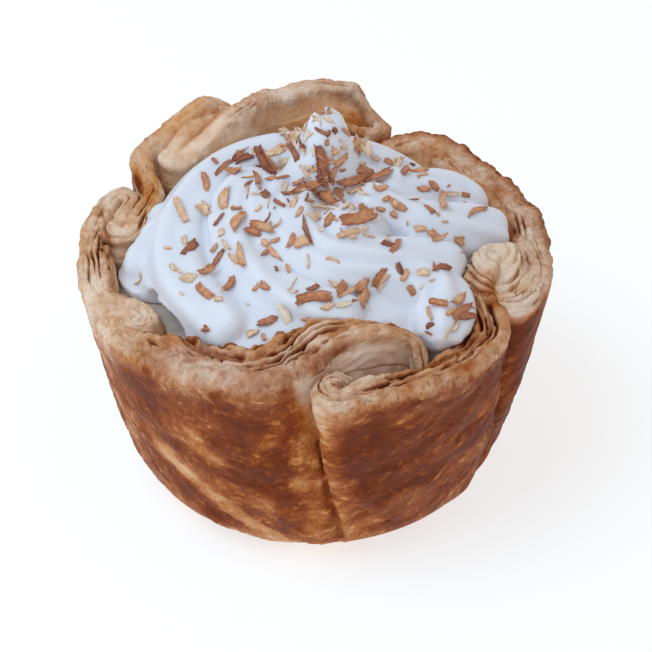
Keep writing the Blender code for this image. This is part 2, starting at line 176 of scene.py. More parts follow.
# The pastry goes round as six strips, each with its tongue tucked behind the next one.
# edge: rows of angle, height of the rim, thickness there
# finish: rows of angle, strength of the leaves that show, share of the edge that is crumbled over them,
# outer lip and inner roll in mm, browning of the outer edge, roughness of the crumb, browning all over, and
# how far the colour turns from the pinkish brown of crumb to the gold of fried leaves
pastryStrips = {
    "rightBack": {
        "seam": -24.0, "overlap": 6.0, "ramp": 12.0, "pitch": 4.2,
        "edge": [
            (-24, 52.5, 6.6), (-12, 52.5, 7.4), (4, 52.0, 8.5), (24, 52.0, 10.5), (38, 52.0, 11.0),
            (52, 53.5, 9.0), (62, 52.0, 6.5), (70, 51.0, 5.0), (80, 54.0, 4.0),
        ],
        "finish": [
            (-24, 0.8, 0.05, 0.0, 0.3, 0.0, 0.6, 0.0, 0.25), (-6, 0.7, 0.25, 0.1, 0.4, 0.2, 0.9, 0.08, 0.4),
            (12, 0.5, 0.5, 0.4, 0.8, 0.45, 1.1, 0.24, 0.3), (30, 0.35, 0.6, 0.6, 0.9, 0.5, 1.0, 0.26, 0.35),
            (60, 0.2, 0.6, 0.5, 0.6, 0.5, 0.6, 0.28, 0.5), (80, 0.3, 0.4, 0.0, 0.2, 0.3, 0.5, 0.14, 0.5),
        ],
    },
    "back": {
        "seam": 73.5, "overlap": 15.0, "ramp": 14.0, "pitch": 3.7,
        "edge": [
            (73.5, 53.0, 4.2), (78, 61.5, 4.6), (90, 62.0, 4.8), (99, 59.5, 4.6), (106, 60.5, 4.8),
            (113, 62.0, 5.2), (118, 62.0, 5.4), (125, 59.0, 5.2), (132, 56.5, 5.0), (140, 54.5, 4.6),
        ],
        "finish": [
            (73.5, 0.3, 0.4, 0.0, 0.0, 0.2, 0.7, 0.10, 0.4), (95, 0.3, 0.5, 0.3, 0.2, 0.14, 0.7, 0.01, 0.2),
            (114, 0.3, 0.45, 0.2, 0.25, 0.12, 0.6, 0.06, 0.35),
            (140, 0.3, 0.4, 0.1, 0.3, 0.08, 0.5, 0.18, 0.65),
        ],
    },
    "backLeft": {
        "seam": 118.0, "overlap": 14.4, "ramp": 10.5, "pitch": 4.4,
        "edge": [
            (113, 59.5, 5.2), (119, 62.0, 5.4), (126, 60.5, 5.4), (132, 58.0, 5.2), (143, 56.0, 4.8),
            (158, 53.5, 4.8), (176, 53.0, 4.8),
        ],
        "finish": [
            (113, 0.3, 0.4, 0.0, 0.0, 0.16, 0.5, 0.16, 0.5), (130, 0.4, 0.5, 0.3, 0.6, 0.2, 0.5, 0.20, 0.7),
            (155, 0.5, 0.4, 0.1, 0.5, 0.14, 0.6, 0.18, 0.8),
            (176, 0.7, 0.2, 0.0, 0.3, 0.04, 0.7, 0.06, 0.5),
        ],
    },
    "left": {
        "seam": 155.5, "overlap": 1.5, "ramp": 9.0, "pitch": 3.8,
        "edge": [
            (155.5, 51.0, 4.8), (166, 52.5, 5.4), (174, 52.5, 6.0), (188, 52.0, 8.0), (198, 51.0, 6.5),
            (210, 49.5, 5.0),
        ],
        "finish": [
            (155.5, 0.8, 0.1, 0.0, 0.2, 0.02, 0.6, 0.02, 0.4),
            (190, 0.8, 0.15, 0.0, 0.5, 0.08, 0.9, 0.12, 0.45),
            (210, 0.6, 0.4, 0.0, 0.2, 0.0, 1.0, 0.06, 0.4),
        ],
    },
    "frontLeft": {
        "seam": 209.0, "overlap": 18.5, "ramp": 20.0, "pitch": 5.4, "falls": 4.0,
        "edge": [
            (209, 49.5, 5.4), (218, 50.5, 7.0), (230, 51.3, 10.0), (242, 52.0, 12.0), (254, 52.8, 12.6),
            (268, 54.0, 10.0), (284, 57.0, 7.0), (294, 56.0, 5.0), (300, 53.5, 4.0),
        ],
        "finish": [
            (209, 0.5, 0.7, 0.2, 0.0, -0.10, 1.0, 0.10, 0.7),
            (222, 0.8, 0.60, 0.0, 0.5, 0.02, 1.3, 0.26, 0.45),
            (235, 1.1, 0.46, 0.0, 1.0, 0.03, 1.3, 0.32, 0.2),
            (258, 1.2, 0.38, 0.0, 1.1, 0.05, 1.3, 0.29, 0.25),
            (272, 1.0, 0.22, 0.2, 0.8, 0.08, 0.8, 0.2, 0.4), (285, 0.8, 0.1, 0.4, 0.4, 0.16, 0.5, 0.2, 0.6),
            (300, 0.5, 0.0, 0.2, 0.0, 0.06, 0.4, 0.08, 0.5),
        ],
    },
    "frontRight": {
        "seam": 276.0, "overlap": 8.0, "ramp": 14.0, "pitch": 4.8,
        "edge": [
            (276, 50.0, 7.0), (286, 50.5, 9.0), (300, 50.0, 9.0), (312, 50.0, 8.0), (328, 52.0, 7.5),
            (338, 55.0, 7.0), (347, 56.0, 6.8),
        ],
        "finish": [
            (276, 0.7, 0.1, 0.1, 0.2, 0.02, 0.8, 0.1, 0.3),
            (288, 1.0, 0.22, 0.7, 0.7, -0.10, 1.1, 0.30, 0.35),
            (312, 1.3, 0.18, 1.3, 1.2, -0.12, 1.2, 0.38, 0.4),
            (330, 1.2, 0.18, 0.9, 1.0, -0.08, 1.0, 0.32, 0.4),
            (347, 0.5, 0.1, 0.1, 0.3, 0.0, 0.8, 0.0, 0.3),
        ],
    },
}
finishNames = ("leaves", "crumbled", "lip", "roll", "edgeBrown", "rough", "baked", "gold")


def outerRadius(z):
    # of the cup at a height: it swells outwards above a rounded foot
    z = np.maximum(z, 0.0)
    share = (z / pastryCup["rimHeight"]) ** pastryCup["bulge"]
    wider = (pastryCup["rimRadius"] - pastryCup["baseRadius"]) * share
    corner = pastryCup["baseCorner"]
    below = np.clip(corner - z, 0, corner)
    return pastryCup["baseRadius"] + wider - (corner - np.sqrt(corner**2 - below**2))


def foldStrength(z):
    # 0 where the sheet is smooth, 1 where it is fully doubled up
    return smoothStep((z - pastryCup["foldFoot"]) / (pastryCup["foldTop"] - pastryCup["foldFoot"]))


def tuckStrength(z):
    # the share of their depth that the doubled layers stand in at a height
    least = pastryCup["tuckLeast"]
    rise = smoothStep((z - pastryCup["tuckFoot"]) / (pastryCup["tuckTop"] - pastryCup["tuckFoot"]))
    return foldStrength(z) * (least + (1 - least) * rise)


def swayed(angle, z):
    # where a seam leans, the angle that a place has down the wall
    turn = 0.0
    for at, lean, width in pastryCup["sway"]:
        turn = turn + lean * bump((angle - at + 180) % 360 - 180, width)
    return angle + turn * (1 - z / pastryCup["rimHeight"])


def stripRows():
    # the folded path round the rim: rows of angle, inset from the outer layer, height, thickness, finish
    rows = []
    strips = list(pastryStrips.values())
    perMm = math.degrees(1 / (pastryCup["rimRadius"] - pastryCup["wall"] / 2))
    halfTurn = np.linspace(-math.pi / 2, math.pi / 2, 9, endpoint=False)
    rowEvery = 0.5
    for strip, following in zip(strips, strips[1:] + strips[:1]):
        nextSeam = following["seam"] + (360 if following is strips[0] else 0)
        pitch = strip["pitch"]
        tip = nextSeam + strip["overlap"] * perMm
        ramp = strip["ramp"] * perMm
        edge, finish = np.array(strip["edge"]), np.array(strip["finish"])

        def along(angle):
            sizes = [np.interp(angle, edge[:, 0], column) for column in edge.T[1:]]
            return sizes + [np.interp(angle, finish[:, 0], column) for column in finish.T[1:]]

        rowsAlong = int((tip - strip["seam"]) / perMm / rowEvery)
        for angle in np.linspace(strip["seam"], tip, rowsAlong, endpoint=False):
            inset = 2 * pitch * smoothStep((angle - nextSeam + ramp) / ramp)
            rows.append((angle, inset, *along(angle)))
        turn = pitch / 2 * perMm
        last = np.array(along(tip))
        first = np.array([*following["edge"][0][1:], *following["finish"][0][1:]])
        falls = strip.get("falls", 0.0)
        behind = first[0] - falls if falls else last[0]  # height of the layer behind the tongue's tip
        for t in halfTurn:  # round the tongue's tip
            height = last[0] + (behind - last[0]) * smoothStep(t / math.pi + 0.5)
            rows.append((tip + turn * math.cos(t), pitch * (1.5 - math.sin(t) / 2), height, *last[1:]))
        rowsBack = int(strip["overlap"] / rowEvery)
        for share in np.linspace(0, 1, rowsBack, endpoint=False):  # back to the seam
            between = last + (first - last) * share
            rises = (share - 0.6) / 0.4 if falls else share / 0.4
            between[0] = behind + (first[0] - behind) * smoothStep(rises)
            rows.append((tip + (nextSeam - tip) * share, pitch, *between))
        for t in halfTurn:  # round the fold at the seam
            rows.append((nextSeam - turn * math.cos(t), pitch * (0.5 - math.sin(t) / 2), *first))
    return np.array(rows)


def evened(values, length, turn=0.0):
    # moving average round the closed path; turn is what the values gain in one round
    points = max(int(length / pastryCup["step"]), 1)
    summed = np.cumsum(np.concatenate([[0], values - turn, values, values + turn]))
    start = len(values) + np.arange(len(values)) - points // 2
    return (summed[start + points] - summed[start]) / points


def foldedPath():
    rows = stripRows()
    rows = np.vstack([rows, rows[0]])
    rows[-1, 0] += 360
    radius = pastryCup["rimRadius"] - pastryCup["wall"] / 2 - rows[:, 1]
    around = np.diff(np.radians(rows[:, 0])) * (radius[1:] + radius[:-1]) / 2
    length = np.concatenate([[0], np.cumsum(np.hypot(around, np.diff(rows[:, 1])))])
    places = np.linspace(0, length[-1], int(length[-1] / pastryCup["step"]), endpoint=False)
    angle, inset, height, thickness, *finish = [np.interp(places, length, column) for column in rows.T]
    turn = 2 * math.pi * places / length[-1]
    ring = length[-1] / (2 * math.pi)
    made = {
        "angle": evened(angle, pastryCup["roundedOver"], 360),
        "inset": evened(inset, pastryCup["roundedOver"]),
        "height": evened(height, pastryCup["levelledOver"]),
        "thickness": evened(thickness, pastryCup["levelledOver"]),
        "openAngle": evened(angle, pastryCup["openedOver"], 360),
        "ring": ring * np.stack([np.cos(turn), np.sin(turn)], axis=1),  # the length, closed to a circle
        "places": places,
        "length": length[-1],
    }
    for name, values in zip(finishNames, finish):
        made[name] = evened(values, pastryCup["blendedOver"])
    return made


path = foldedPath()


def sheetThickness(level):
    low, high = pastryCup["thickens"]
    wall = pastryCup["wall"]
    return wall + (path["thickness"] - wall) * smoothStep((level - low) / (high - low))


def centreLine(level):
    angle = path["openAngle"] + (path["angle"] - path["openAngle"]) * foldStrength(level)
    angle = np.radians(swayed(angle, level))
    radius = outerRadius(level) - sheetThickness(level) / 2 - path["inset"] * tuckStrength(level)
    return np.stack([radius * np.cos(angle), radius * np.sin(angle)], axis=1)


def sheetRow(level, share, inward=1.0):
    # one row of points round the cup: share is 1 on the outer face of the sheet and -1 on the inner one
    centre = centreLine(level)
    ahead = np.roll(centre, -2, axis=0) - np.roll(centre, 2, axis=0)
    outward = np.stack([ahead[:, 1], -ahead[:, 0]], axis=1)
    outward /= np.linalg.norm(outward, axis=1)[:, None]
    flat = (centre + outward * (sheetThickness(level) / 2 * share)[:, None]) * inward
    foot, top = pastryCup["liftFoot"], pastryCup["rimHeight"]
    rise = (path["height"] - top) * smoothStep((level - foot) / (top - foot))
    return np.column_stack([flat, level + rise])


def otherSheet(centre, points, ownShare):
    # how much nearer a point is to its own sheet than to any sheet folded against it, by the half thickness
    # of each; below 0 it is inside that other one
    half = path["thickness"] / 2
    own, many = 7.0, 60  # mm along the path that count as its own sheet, and columns at a time
    result = np.empty(points.shape[:2])
    places = path["places"]
    for column in range(0, points.shape[1], many):
        some = points[:, column:column + many, None, :2] - centre[None, None]
        away = np.hypot(some[..., 0], some[..., 1]) / half
        apart = np.abs(places[column:column + many, None] - places[None])
        apart = np.minimum(apart, path["length"] - apart)
        result[:, column:column + many] = np.where(apart[None] < own, np.inf, away).min(axis=2)
    return (result - np.abs(ownShare)) * half[None] * 0.7


# the leaves that show on the cut edge
pastryLeaves = {
    "spacing": 1.25,  # mean distance of the leaves of the baked sheet
    "wander": 1.0,  # how far a leaf strays as it goes along
    "waver": 0.45,  # the shorter waves in that, as a share of it
    "shiver": 0.12,
    "unevenness": 0.70,  # how far one leaf stands over the next
    "crevice": 1.5,  # depth between two leaves
    "creviceWidth": 0.18,  # as a share of a leaf
    "rounding": 0.18,
    "broken": 0.55,  # depth where the top of a leaf has broken off
    "ragged": 0.20,
}
firstLeaf = 40  # leaves are counted from here, so that the count stays above zero


def leafRelief(depth):
    # leaves of uneven height with crevices between them that come and go along the edge
    around = np.broadcast_to(path["ring"][None], (*depth.shape, 2))
    where = np.concatenate([around, depth[..., None]], axis=2)
    wander = noiseAt(where, 13, 13, 3.2) + pastryLeaves["waver"] * noiseAt(where, 4.2, 4.2, 2.0, shift=3.1)
    shiver = pastryLeaves["shiver"] * noiseAt(where, 1.3, 1.3, 1.3, shift=6.1)
    wander = pastryLeaves["wander"] * wander + shiver
    leaf = (depth + wander) / pastryLeaves["spacing"] + firstLeaf
    below = np.floor(leaf)
    part = leaf - below

    def perLeaf(index, length, shift):
        at = where.copy()
        at[..., 2] = index * 5.37
        return noiseAt(at, length, length, 1.0, octaves=2, shift=shift)

    def opened(index):
        return np.clip(0.15 + 1.9 * perLeaf(index, 6.0, 9.0), 0, 1.7)

    rise = perLeaf(below, 5.0, 0.0)
    rise = rise + (perLeaf(below + 1, 5.0, 0.0) - rise) * smoothStep((part - 0.70) / 0.30)
    width = pastryLeaves["creviceWidth"]
    crevice = opened(below + 1) * bump(part - 1, width) + opened(below) * bump(part, width)
    rounding = pastryLeaves["rounding"] * (1 - (2 * part - 1) ** 4)
    broken = smoothStep((perLeaf(below, 2.4, 14.0) - 0.35) / 0.12) * smoothStep((0.9 - part) / 0.2)
    ragged = noiseAt(where, 1.2, 1.2, 0.6, octaves=2, shift=27.0)
    relief = pastryLeaves["unevenness"] * rise - pastryLeaves["crevice"] * crevice + rounding
    relief = relief - pastryLeaves["broken"] * broken + pastryLeaves["ragged"] * ragged
    tone = perLeaf(below, 8.0, 20.0)
    return relief, np.clip(crevice, 0, 1), tone


def gridPiece(name, points, values, wrapRows, sharpRows=()):
    # a grid wrapped round the cup; values are written as attributes of its points
    rows, columns = points.shape[:2]
    bm = bmesh.new()
    bmesh.ops.create_grid(bm, x_segments=columns, y_segments=rows - 1 + wrapRows, size=1.0)
    take = np.ix_(np.arange(rows + wrapRows) % rows, np.arange(columns + 1) % columns)
    co = points[take].reshape(-1, 3) * mm
    layers = {key: bm.verts.layers.float.new(key) for key in values}
    flat = {key: value[take].ravel() for key, value in values.items()}
    for i, vert in enumerate(bm.verts):
        vert.co = co[i]
        for key, layer in layers.items():
            vert[layer] = flat[key][i]
    across = columns + 1
    for edge in bm.edges:
        first, second = sorted(vert.index for vert in edge.verts)
        edge.smooth = not (second - first == 1 and first // across in sharpRows)
    seam = [vert for vert in bm.verts if vert.index % across in (0, columns)]
    lastRow = (rows - 1 + wrapRows) * across
    ends = [vert for vert in bm.verts if vert.index < across or vert.index >= lastRow]
    bmesh.ops.remove_doubles(bm, verts=list(set(seam + ends)), dist=1e-6)
    return meshObject(name, bm)


def outwardNormals(points):
    # and how far apart the columns stand there, against their usual distance
    along = np.roll(points, -1, axis=1) - np.roll(points, 1, axis=1)
    up = np.gradient(points, axis=0)
    normal = np.cross(along, up)
    stretch = np.linalg.norm(along, axis=2) / (2 * pastryCup["step"])
    return normal / (np.linalg.norm(normal, axis=2)[..., None] + 1e-9), stretch


# rows of angle, level, half widths in degrees and mm, and how much browner it is there
wallPatches = [
    (255, 28, 9, 7, 0.26), (263, 22, 7, 6, 0.14), (253, 42, 5, 2.6, 0.26), (247, 36, 7, 4, 0.16),
    (281, 35, 6, 9, 0.30), (284, 27, 6, 8, 0.16), (296, 22, 5, 4, 0.10), (222, 42, 5, 3, 0.22),
    (227, 37, 4, 5, 0.22), (231, 31, 4, 4, 0.14), (322, 44, 12, 3.5, 0.26), (336, 34, 5, 14, 0.22),
    (308, 39, 5, 3, 0.16), (262, 9, 8, 3, 0.12), (238, 8, 5, 3, 0.12), (229, 12, 3, 3, 0.14),
    (214, 30, 6, 9, 0.10), (20, 42, 50, 7, 0.20), (90, 40, 60, 12, 0.12), (170, 34, 30, 10, 0.12),
    (50, 20, 24, 8, 0.14), (130, 22, 20, 7, 0.14), (306, 24, 22, 20, 0.16), (338, 22, 12, 16, 0.12),
    (203, 42, 6, 12, -0.34), (207, 26, 4, 10, -0.26), (194, 45, 10, 7, -0.20), (271, 41, 4, 6, -0.34),
    (267, 33, 3.4, 5, -0.24), (270, 17, 4, 9, -0.20), (265, 25, 2.6, 2.4, -0.22), (240, 34, 4, 2.6, -0.30),
    (243, 30, 5, 1.6, -0.16), (229, 25, 3, 4, -0.24), (233, 21, 3, 3, -0.16), (247, 22, 5, 1.6, -0.10),
    (304, 29, 5, 3, -0.18), (297, 14, 7, 4, -0.12), (312, 22, 6, 5, -0.12), (318, 34, 3, 2.4, -0.16),
    (290, 42, 4, 2, -0.14), (255, 33, 1.6, 1.2, -0.16), (258, 36, 2.4, 1.0, -0.22),
]
# a flap that lies over the front: rows of angle and level along its edge
flapEdge = [(203, 46), (208, 37), (213, 31), (223, 27.5), (240, 21.5), (252.5, 13), (262, 7.5), (280, 4)]
# seams: rows of angle and level along a strip's first edge, down the wall, and how high it stands
seamEdges = [
    ([(268, 53), (270, 42), (273.6, 28), (276.8, 13), (279, 4)], 1.5),
    ([(-33, 52), (-30, 30), (-28, 8)], 0.7),
    ([(70, 52), (72, 20)], 0.5),
    ([(112, 52), (115, 20)], 0.5),
    ([(150, 52), (155, 30), (160, 10)], 0.7),
    ([(202, 52), (204.5, 44), (208, 36), (212, 30)], 1.1),
]
seamShape = {"wobble": 0.7, "step": 0.8, "fallsOver": 4.0, "groove": 0.7, "grooveWidth": 0.9}  # in mm


def seamRelief(angle, level, base):
    # a strip's edge lies over the strip before it, with a groove along it: the height and the depth of them
    step, groove = 0.0, 0.0
    wobble = seamShape["wobble"] * noiseAt(base, 5.0, octaves=3, shift=44.0)
    for line, height in seamEdges:
        angles, levels = np.array(line, float)[::-1].T
        away = (angle - np.interp(level, levels, angles) + 180) % 360 - 180
        away = np.radians(away) * pastryCup["meanRadius"] + wobble
        fade = smoothStep((level - levels[0] + 2) / 6) * height
        falling = np.exp(-np.maximum(away, 0) / seamShape["fallsOver"])
        step = step + seamShape["step"] * fade * smoothStep(away / 0.8) * falling
        groove = groove + seamShape["groove"] * fade * bump(away + 0.6, seamShape["grooveWidth"])
    return step, groove


# places on the rim where plain dough shows: rows of x, y, half length, half width, and the angle it lies at
plainPlaces = [
    (-39.8, 11.5, 9.0, 3.4, 98), (-36.5, -19.5, 11.0, 6.5, -35), (-24.0, 35.0, 12.0, 6.0, 50),
]
# the knob at the right, where the pastry ends rolled up: its middle and size, seen from above
rolledEnd = {"x": 36.0, "y": -7.5, "radius": 10.0, "longer": 1.3}


def plainDough(points):
    share = 0.0
    for x, y, length, width, turn in plainPlaces:
        turn = math.radians(turn)
        across, up = points[..., 0] - x, points[..., 1] - y
        along = (across * math.cos(turn) + up * math.sin(turn)) / length
        beside = (up * math.cos(turn) - across * math.sin(turn)) / width
        share = np.maximum(share, smoothStep((1.25 - np.hypot(along, beside)) / 0.4))
    return share


def rolledDough(points):
    across, along = points[..., 0] - rolledEnd["x"], points[..., 1] - rolledEnd["y"]
    away = np.hypot(across, along / rolledEnd["longer"])
    return away, smoothStep((rolledEnd["radius"] - away) / 2.5)


def browned(angle, level):
    total = 0.0
    for at, height, wide, tall, strength in wallPatches:
        away = (angle - at + 180) % 360 - 180
        total = total + strength * np.exp(-((away / wide) ** 2 + ((level - height) / tall) ** 2))
    return total


def streakField(points):
    # along the wrinkles and across them: they hang like garlands from the front
    sag, radius = 34.0, pastryCup["meanRadius"]
    angle = np.arctan2(points[..., 1], points[..., 0])
    across = points[..., 2] + sag * np.cos(angle + math.pi / 2)
    return np.stack([radius * np.cos(angle), radius * np.sin(angle), across], axis=-1)


def tornLeaves(where, lump, shift):
    # terraces with sharp edges, where a leaf of the pastry has peeled: their height, their tone and how far
    # a place is from the edge below it
    terraces, sharp = 3.4, 0.16
    field = terraces * noiseAt(where, *lump, octaves=3, shift=shift) + firstLeaf
    below = np.floor(field)
    height = below + smoothStep((field - below) / sharp)
    tone = np.sin(below * 12.9898 + 4.1) * 0.5  # as good as random for each leaf
    return (height - firstLeaf) / terraces, tone, field - below


# how far the relief stands out, in mm
pastryRelief = {
    "rimLumps": 0.50,
    "rimLeaves": 0.40,
    "rimCrumb": 0.36,
    "rimPits": 0.50,
    "rimSunk": 0.3,  # the whole rim, so that its lip and roll stay inside the cup's size
    "wrinkles": 0.16,
    "tornLeaves": 0.45,
    "blisters": 0.40,
    "wallCrumb": 0.10,
    "flap": 0.7,
    "wallSunk": 0.15,
    "innerDough": 0.3,
    "layers": 0.16,  # of the doubled sheet, seen from its side
    "layerSpacing": 0.9,
    "most": 0.35,  # on the outer face near the rim, where it would pass the cup's size
    "mostAway": 1.2,  # more than that elsewhere
    "softly": 0.12,
    "crease": 1.3,  # depth of the line where two folded sheets meet
    "underOther": 2.0,  # how far a sheet goes down where it would stand in another
}

# how brown it is: 0 is raw dough and 1 is dark brown
pastryBrown = {
    "wall": 0.70,
    "wallMottle": 0.09,
    "wallCloud": 0.13,
    "wallTorn": 0.09,
    "wallFoot": -0.16,
    "underFlap": -0.26,
    "tornEdge": -0.10,
    "seam": -0.22,
    "shoulder": -0.24,
    "shoulderRight": -0.12,
    "right": 0.05,
    "rim": 0.08,
    "rimCloud": 0.12,
    "rimCrumb": 0.11,
    "rimLumps": -0.08,
    "leafTone": 0.14,
    # leafGap darkens the crevices between the leaves: partly browning, partly painted shade
    "leafGap": 0.38,
    "leafHeight": -0.13,
    "plain": -0.08,
    "rolled": -0.10,
    "rolledEdge": 0.16,
    "lip": 0.04,
    "roll": 0.01,
    "lining": 0.38,
    "liningCloud": 0.26,
    "liningLeft": -0.16,
    "liningTop": -0.14,
    "tongue": 0.36,
    "tongueFace": -0.38,
    "tongueTop": 0.12,
    "tongueCloud": 0.10,
    "tongueLayers": 0.10,
    # crease darkens the lines where two folded sheets meet: partly browning, partly painted shade
    "crease": 0.22,
    "most": 0.93,
}

# how golden its colour is: 0 for crumb and 1 for fried leaves
pastryGold = {
    "wall": 1.0,
    "wallDark": 0.4,
    "cloud": 0.25,
    "shoulder": -0.45,
    "left": -0.4,
    "lining": 0.8,
    "liningCloud": 0.3,
    "tongue": 0.9,
    "tongueFace": -0.76,
    "lipAndRoll": 0.3,
    "leafGap": 0.15,
}


def placesOn(rows, top, before, after):
    # what is known of each place from where it lies on the folded sheet; top is 1 for the rim
    rows = [before or rows[0], *rows, after or rows[-1]]
    at = SimpleNamespace()
    at.levels = np.stack([np.broadcast_to(level, path["places"].shape) for level, _ in rows])
    at.shares = np.stack([np.broadcast_to(share, path["places"].shape) for _, share in rows])
    at.base = np.stack([sheetRow(level, share) for level, share in zip(at.levels, at.shares)])
    at.normal, at.stretch = outwardNormals(at.base)
    at.angle = np.degrees(np.arctan2(at.base[..., 1], at.base[..., 0])) % 360
    at.thickness = np.broadcast_to(path["thickness"][None], at.levels.shape)
    at.depth = (1 - at.shares) / 2 * at.thickness
    at.streak = streakField(at.base)
    at.top = top * smoothStep((at.levels - 45.0) / 2.5)
    at.high = smoothStep((at.levels - 46.0) / 3.0)
    at.outside = smoothStep((at.shares - 0.6) / 0.3)  # 1 on the outer face, 0 towards the inner one
    at.inside = smoothStep((-0.6 - at.shares) / 0.3)
    tucked = path["inset"] * tuckStrength(at.levels - 2)
    at.folded = smoothStep((tucked - 2.2) / 2.2)  # 1 where the sheet stands in, behind a fold
    at.edgeNoise = noiseAt(at.base, 4.5, octaves=2, shift=1.0)
    at.lumps = noiseAt(at.base, 5.5, octaves=2, shift=5.0)
    at.crumb = noiseAt(at.base, 1.9, octaves=3, shift=15.0)
    at.cloud = noiseAt(at.base, 9.0, octaves=3, shift=14.0)
    return at


def rimRelief(at):
    # the cut edge: leaves with crumbs over them, a lip at its outer side and a roll at its inner side
    at.plain = plainDough(at.base) * at.top
    at.rolledAway, at.rolled = rolledDough(at.base)
    leaf, gap, at.tone = leafRelief(at.depth * (1 - at.rolled) + at.rolledAway * at.rolled)
    at.leaf = leaf * (1 - 0.35 * at.rolled)
    at.gap = gap * (1 - 0.5 * at.rolled)
    showing = smoothStep((at.depth - path["crumbled"] * at.thickness - 0.9 * at.edgeNoise) / 1.2)
    showing = np.maximum(path["leaves"] * showing, at.rolled) * (1 - 0.85 * at.plain)
    at.showing = showing * at.top * smoothStep((at.levels - 47.5) / 2.0 + 0.6 * at.inside)
    thinLeaf, _, _ = tornLeaves(at.base, (3.6, 3.6, 2.6), 18.0)
    pits = 1 - np.abs(noiseAt(at.base, 1.5, octaves=2, shift=25.0))
    crumble = pastryRelief["rimLumps"] * at.lumps + pastryRelief["rimLeaves"] * thinLeaf
    crumble = crumble + pastryRelief["rimCrumb"] * at.crumb
    crumble = crumble - pastryRelief["rimPits"] * smoothStep((pits - 0.80) / 0.20)
    crumble = path["rough"] * (1 - 0.2 * at.plain) * crumble
    lipNoise = noiseAt(at.base, 3.5, octaves=2, shift=31.0)
    rollNoise = noiseAt(at.base, 5.0, octaves=2, shift=33.0)
    at.lip = path["lip"] * bump(at.depth - 1.3, 1.3) * (0.9 + 0.6 * lipNoise)
    at.roll = path["roll"] * bump(at.thickness - at.depth - 1.5, 1.4) * (0.7 + 0.9 * rollNoise)
    relief = at.showing * at.leaf + (1 - 0.75 * at.showing) * crumble
    return relief + (at.lip + at.roll) * at.high - pastryRelief["rimSunk"]


def sideRelief(at):
    # the wall's wrinkles, torn leaves, blisters, flap and seams, and the smoother dough inside
    wrinkle = noiseAt(at.streak, 15, 15, 2.8, octaves=2, shift=2.0)
    terrace, at.tornTone, at.torn = tornLeaves(at.streak, (9, 9, 4.5), 8.0)
    blister = noiseAt(at.base, 8.0, octaves=2, shift=4.0)
    line = np.interp(at.angle, *zip(*flapEdge))
    at.byFlap = smoothStep((at.angle - 202) / 6) * smoothStep((284 - at.angle) / 8)
    at.overFlap = (at.levels - line - 0.8 * noiseAt(at.base, 4.0, shift=40.0)) * at.byFlap
    wall = pastryRelief["wrinkles"] * wrinkle + pastryRelief["tornLeaves"] * terrace
    wall = wall + pastryRelief["blisters"] * blister + pastryRelief["wallCrumb"] * at.crumb
    wall = wall + pastryRelief["flap"] * at.byFlap * smoothStep(at.overFlap / 0.7)
    wall = wall - pastryRelief["wallSunk"]
    at.seamStep, seamGroove = seamRelief(at.angle, at.levels, at.base)
    wall = wall + at.seamStep - seamGroove
    dough = pastryRelief["innerDough"] * noiseAt(at.base, 5.0, octaves=3, shift=6.0) + 0.10 * at.crumb - 0.1
    layer = 2 * math.pi * (at.base[..., 2] + 0.5 * at.lumps) / pastryRelief["layerSpacing"]
    at.laminated = pastryRelief["layers"] * np.sin(layer) * at.folded
    outer = wall * (1 - at.folded) + (dough + at.laminated) * at.folded
    return np.where(at.shares > 0, outer, dough + 0.5 * at.laminated)


def reliefPoints(at):
    # the places moved out by their relief, and down into the lines where two sheets meet
    rim, side = rimRelief(at), sideRelief(at)
    relief = side + (rim - side) * at.top * smoothStep((at.levels - 45.0) / 3.0)
    relief = relief * smoothStep((at.stretch - 0.25) / 0.5) * smoothStep((at.levels - 0.2) / 2.0)
    away, softly = pastryRelief["mostAway"], pastryRelief["softly"]
    most = pastryRelief["most"] + away * at.folded + away * at.top * (1 - at.outside)
    most = most + away * smoothStep((38 - at.levels) / 6)
    relief = most - np.log1p(np.exp((most - relief) / softly)) * softly
    points = at.base + at.normal * relief[..., None]
    meeting = otherSheet(centreLine(pastryCup["rimHeight"]), at.base, at.shares)
    comesAndGoes = np.clip(0.55 + 0.9 * noiseAt(at.base, 4.0, octaves=2, shift=2.0), 0.1, 1.1)
    bare = 1 - np.maximum(at.plain, at.rolled)
    at.crease = bump(np.maximum(meeting, 0), 0.5) * comesAndGoes * at.high * bare
    under = at.high * smoothStep(-meeting / 1.5) * (1 - 0.7 * at.plain)
    points[..., 2] -= pastryRelief["crease"] * at.crease + pastryRelief["underOther"] * under
    points[..., 2] = np.maximum(points[..., 2], 0)
    return points


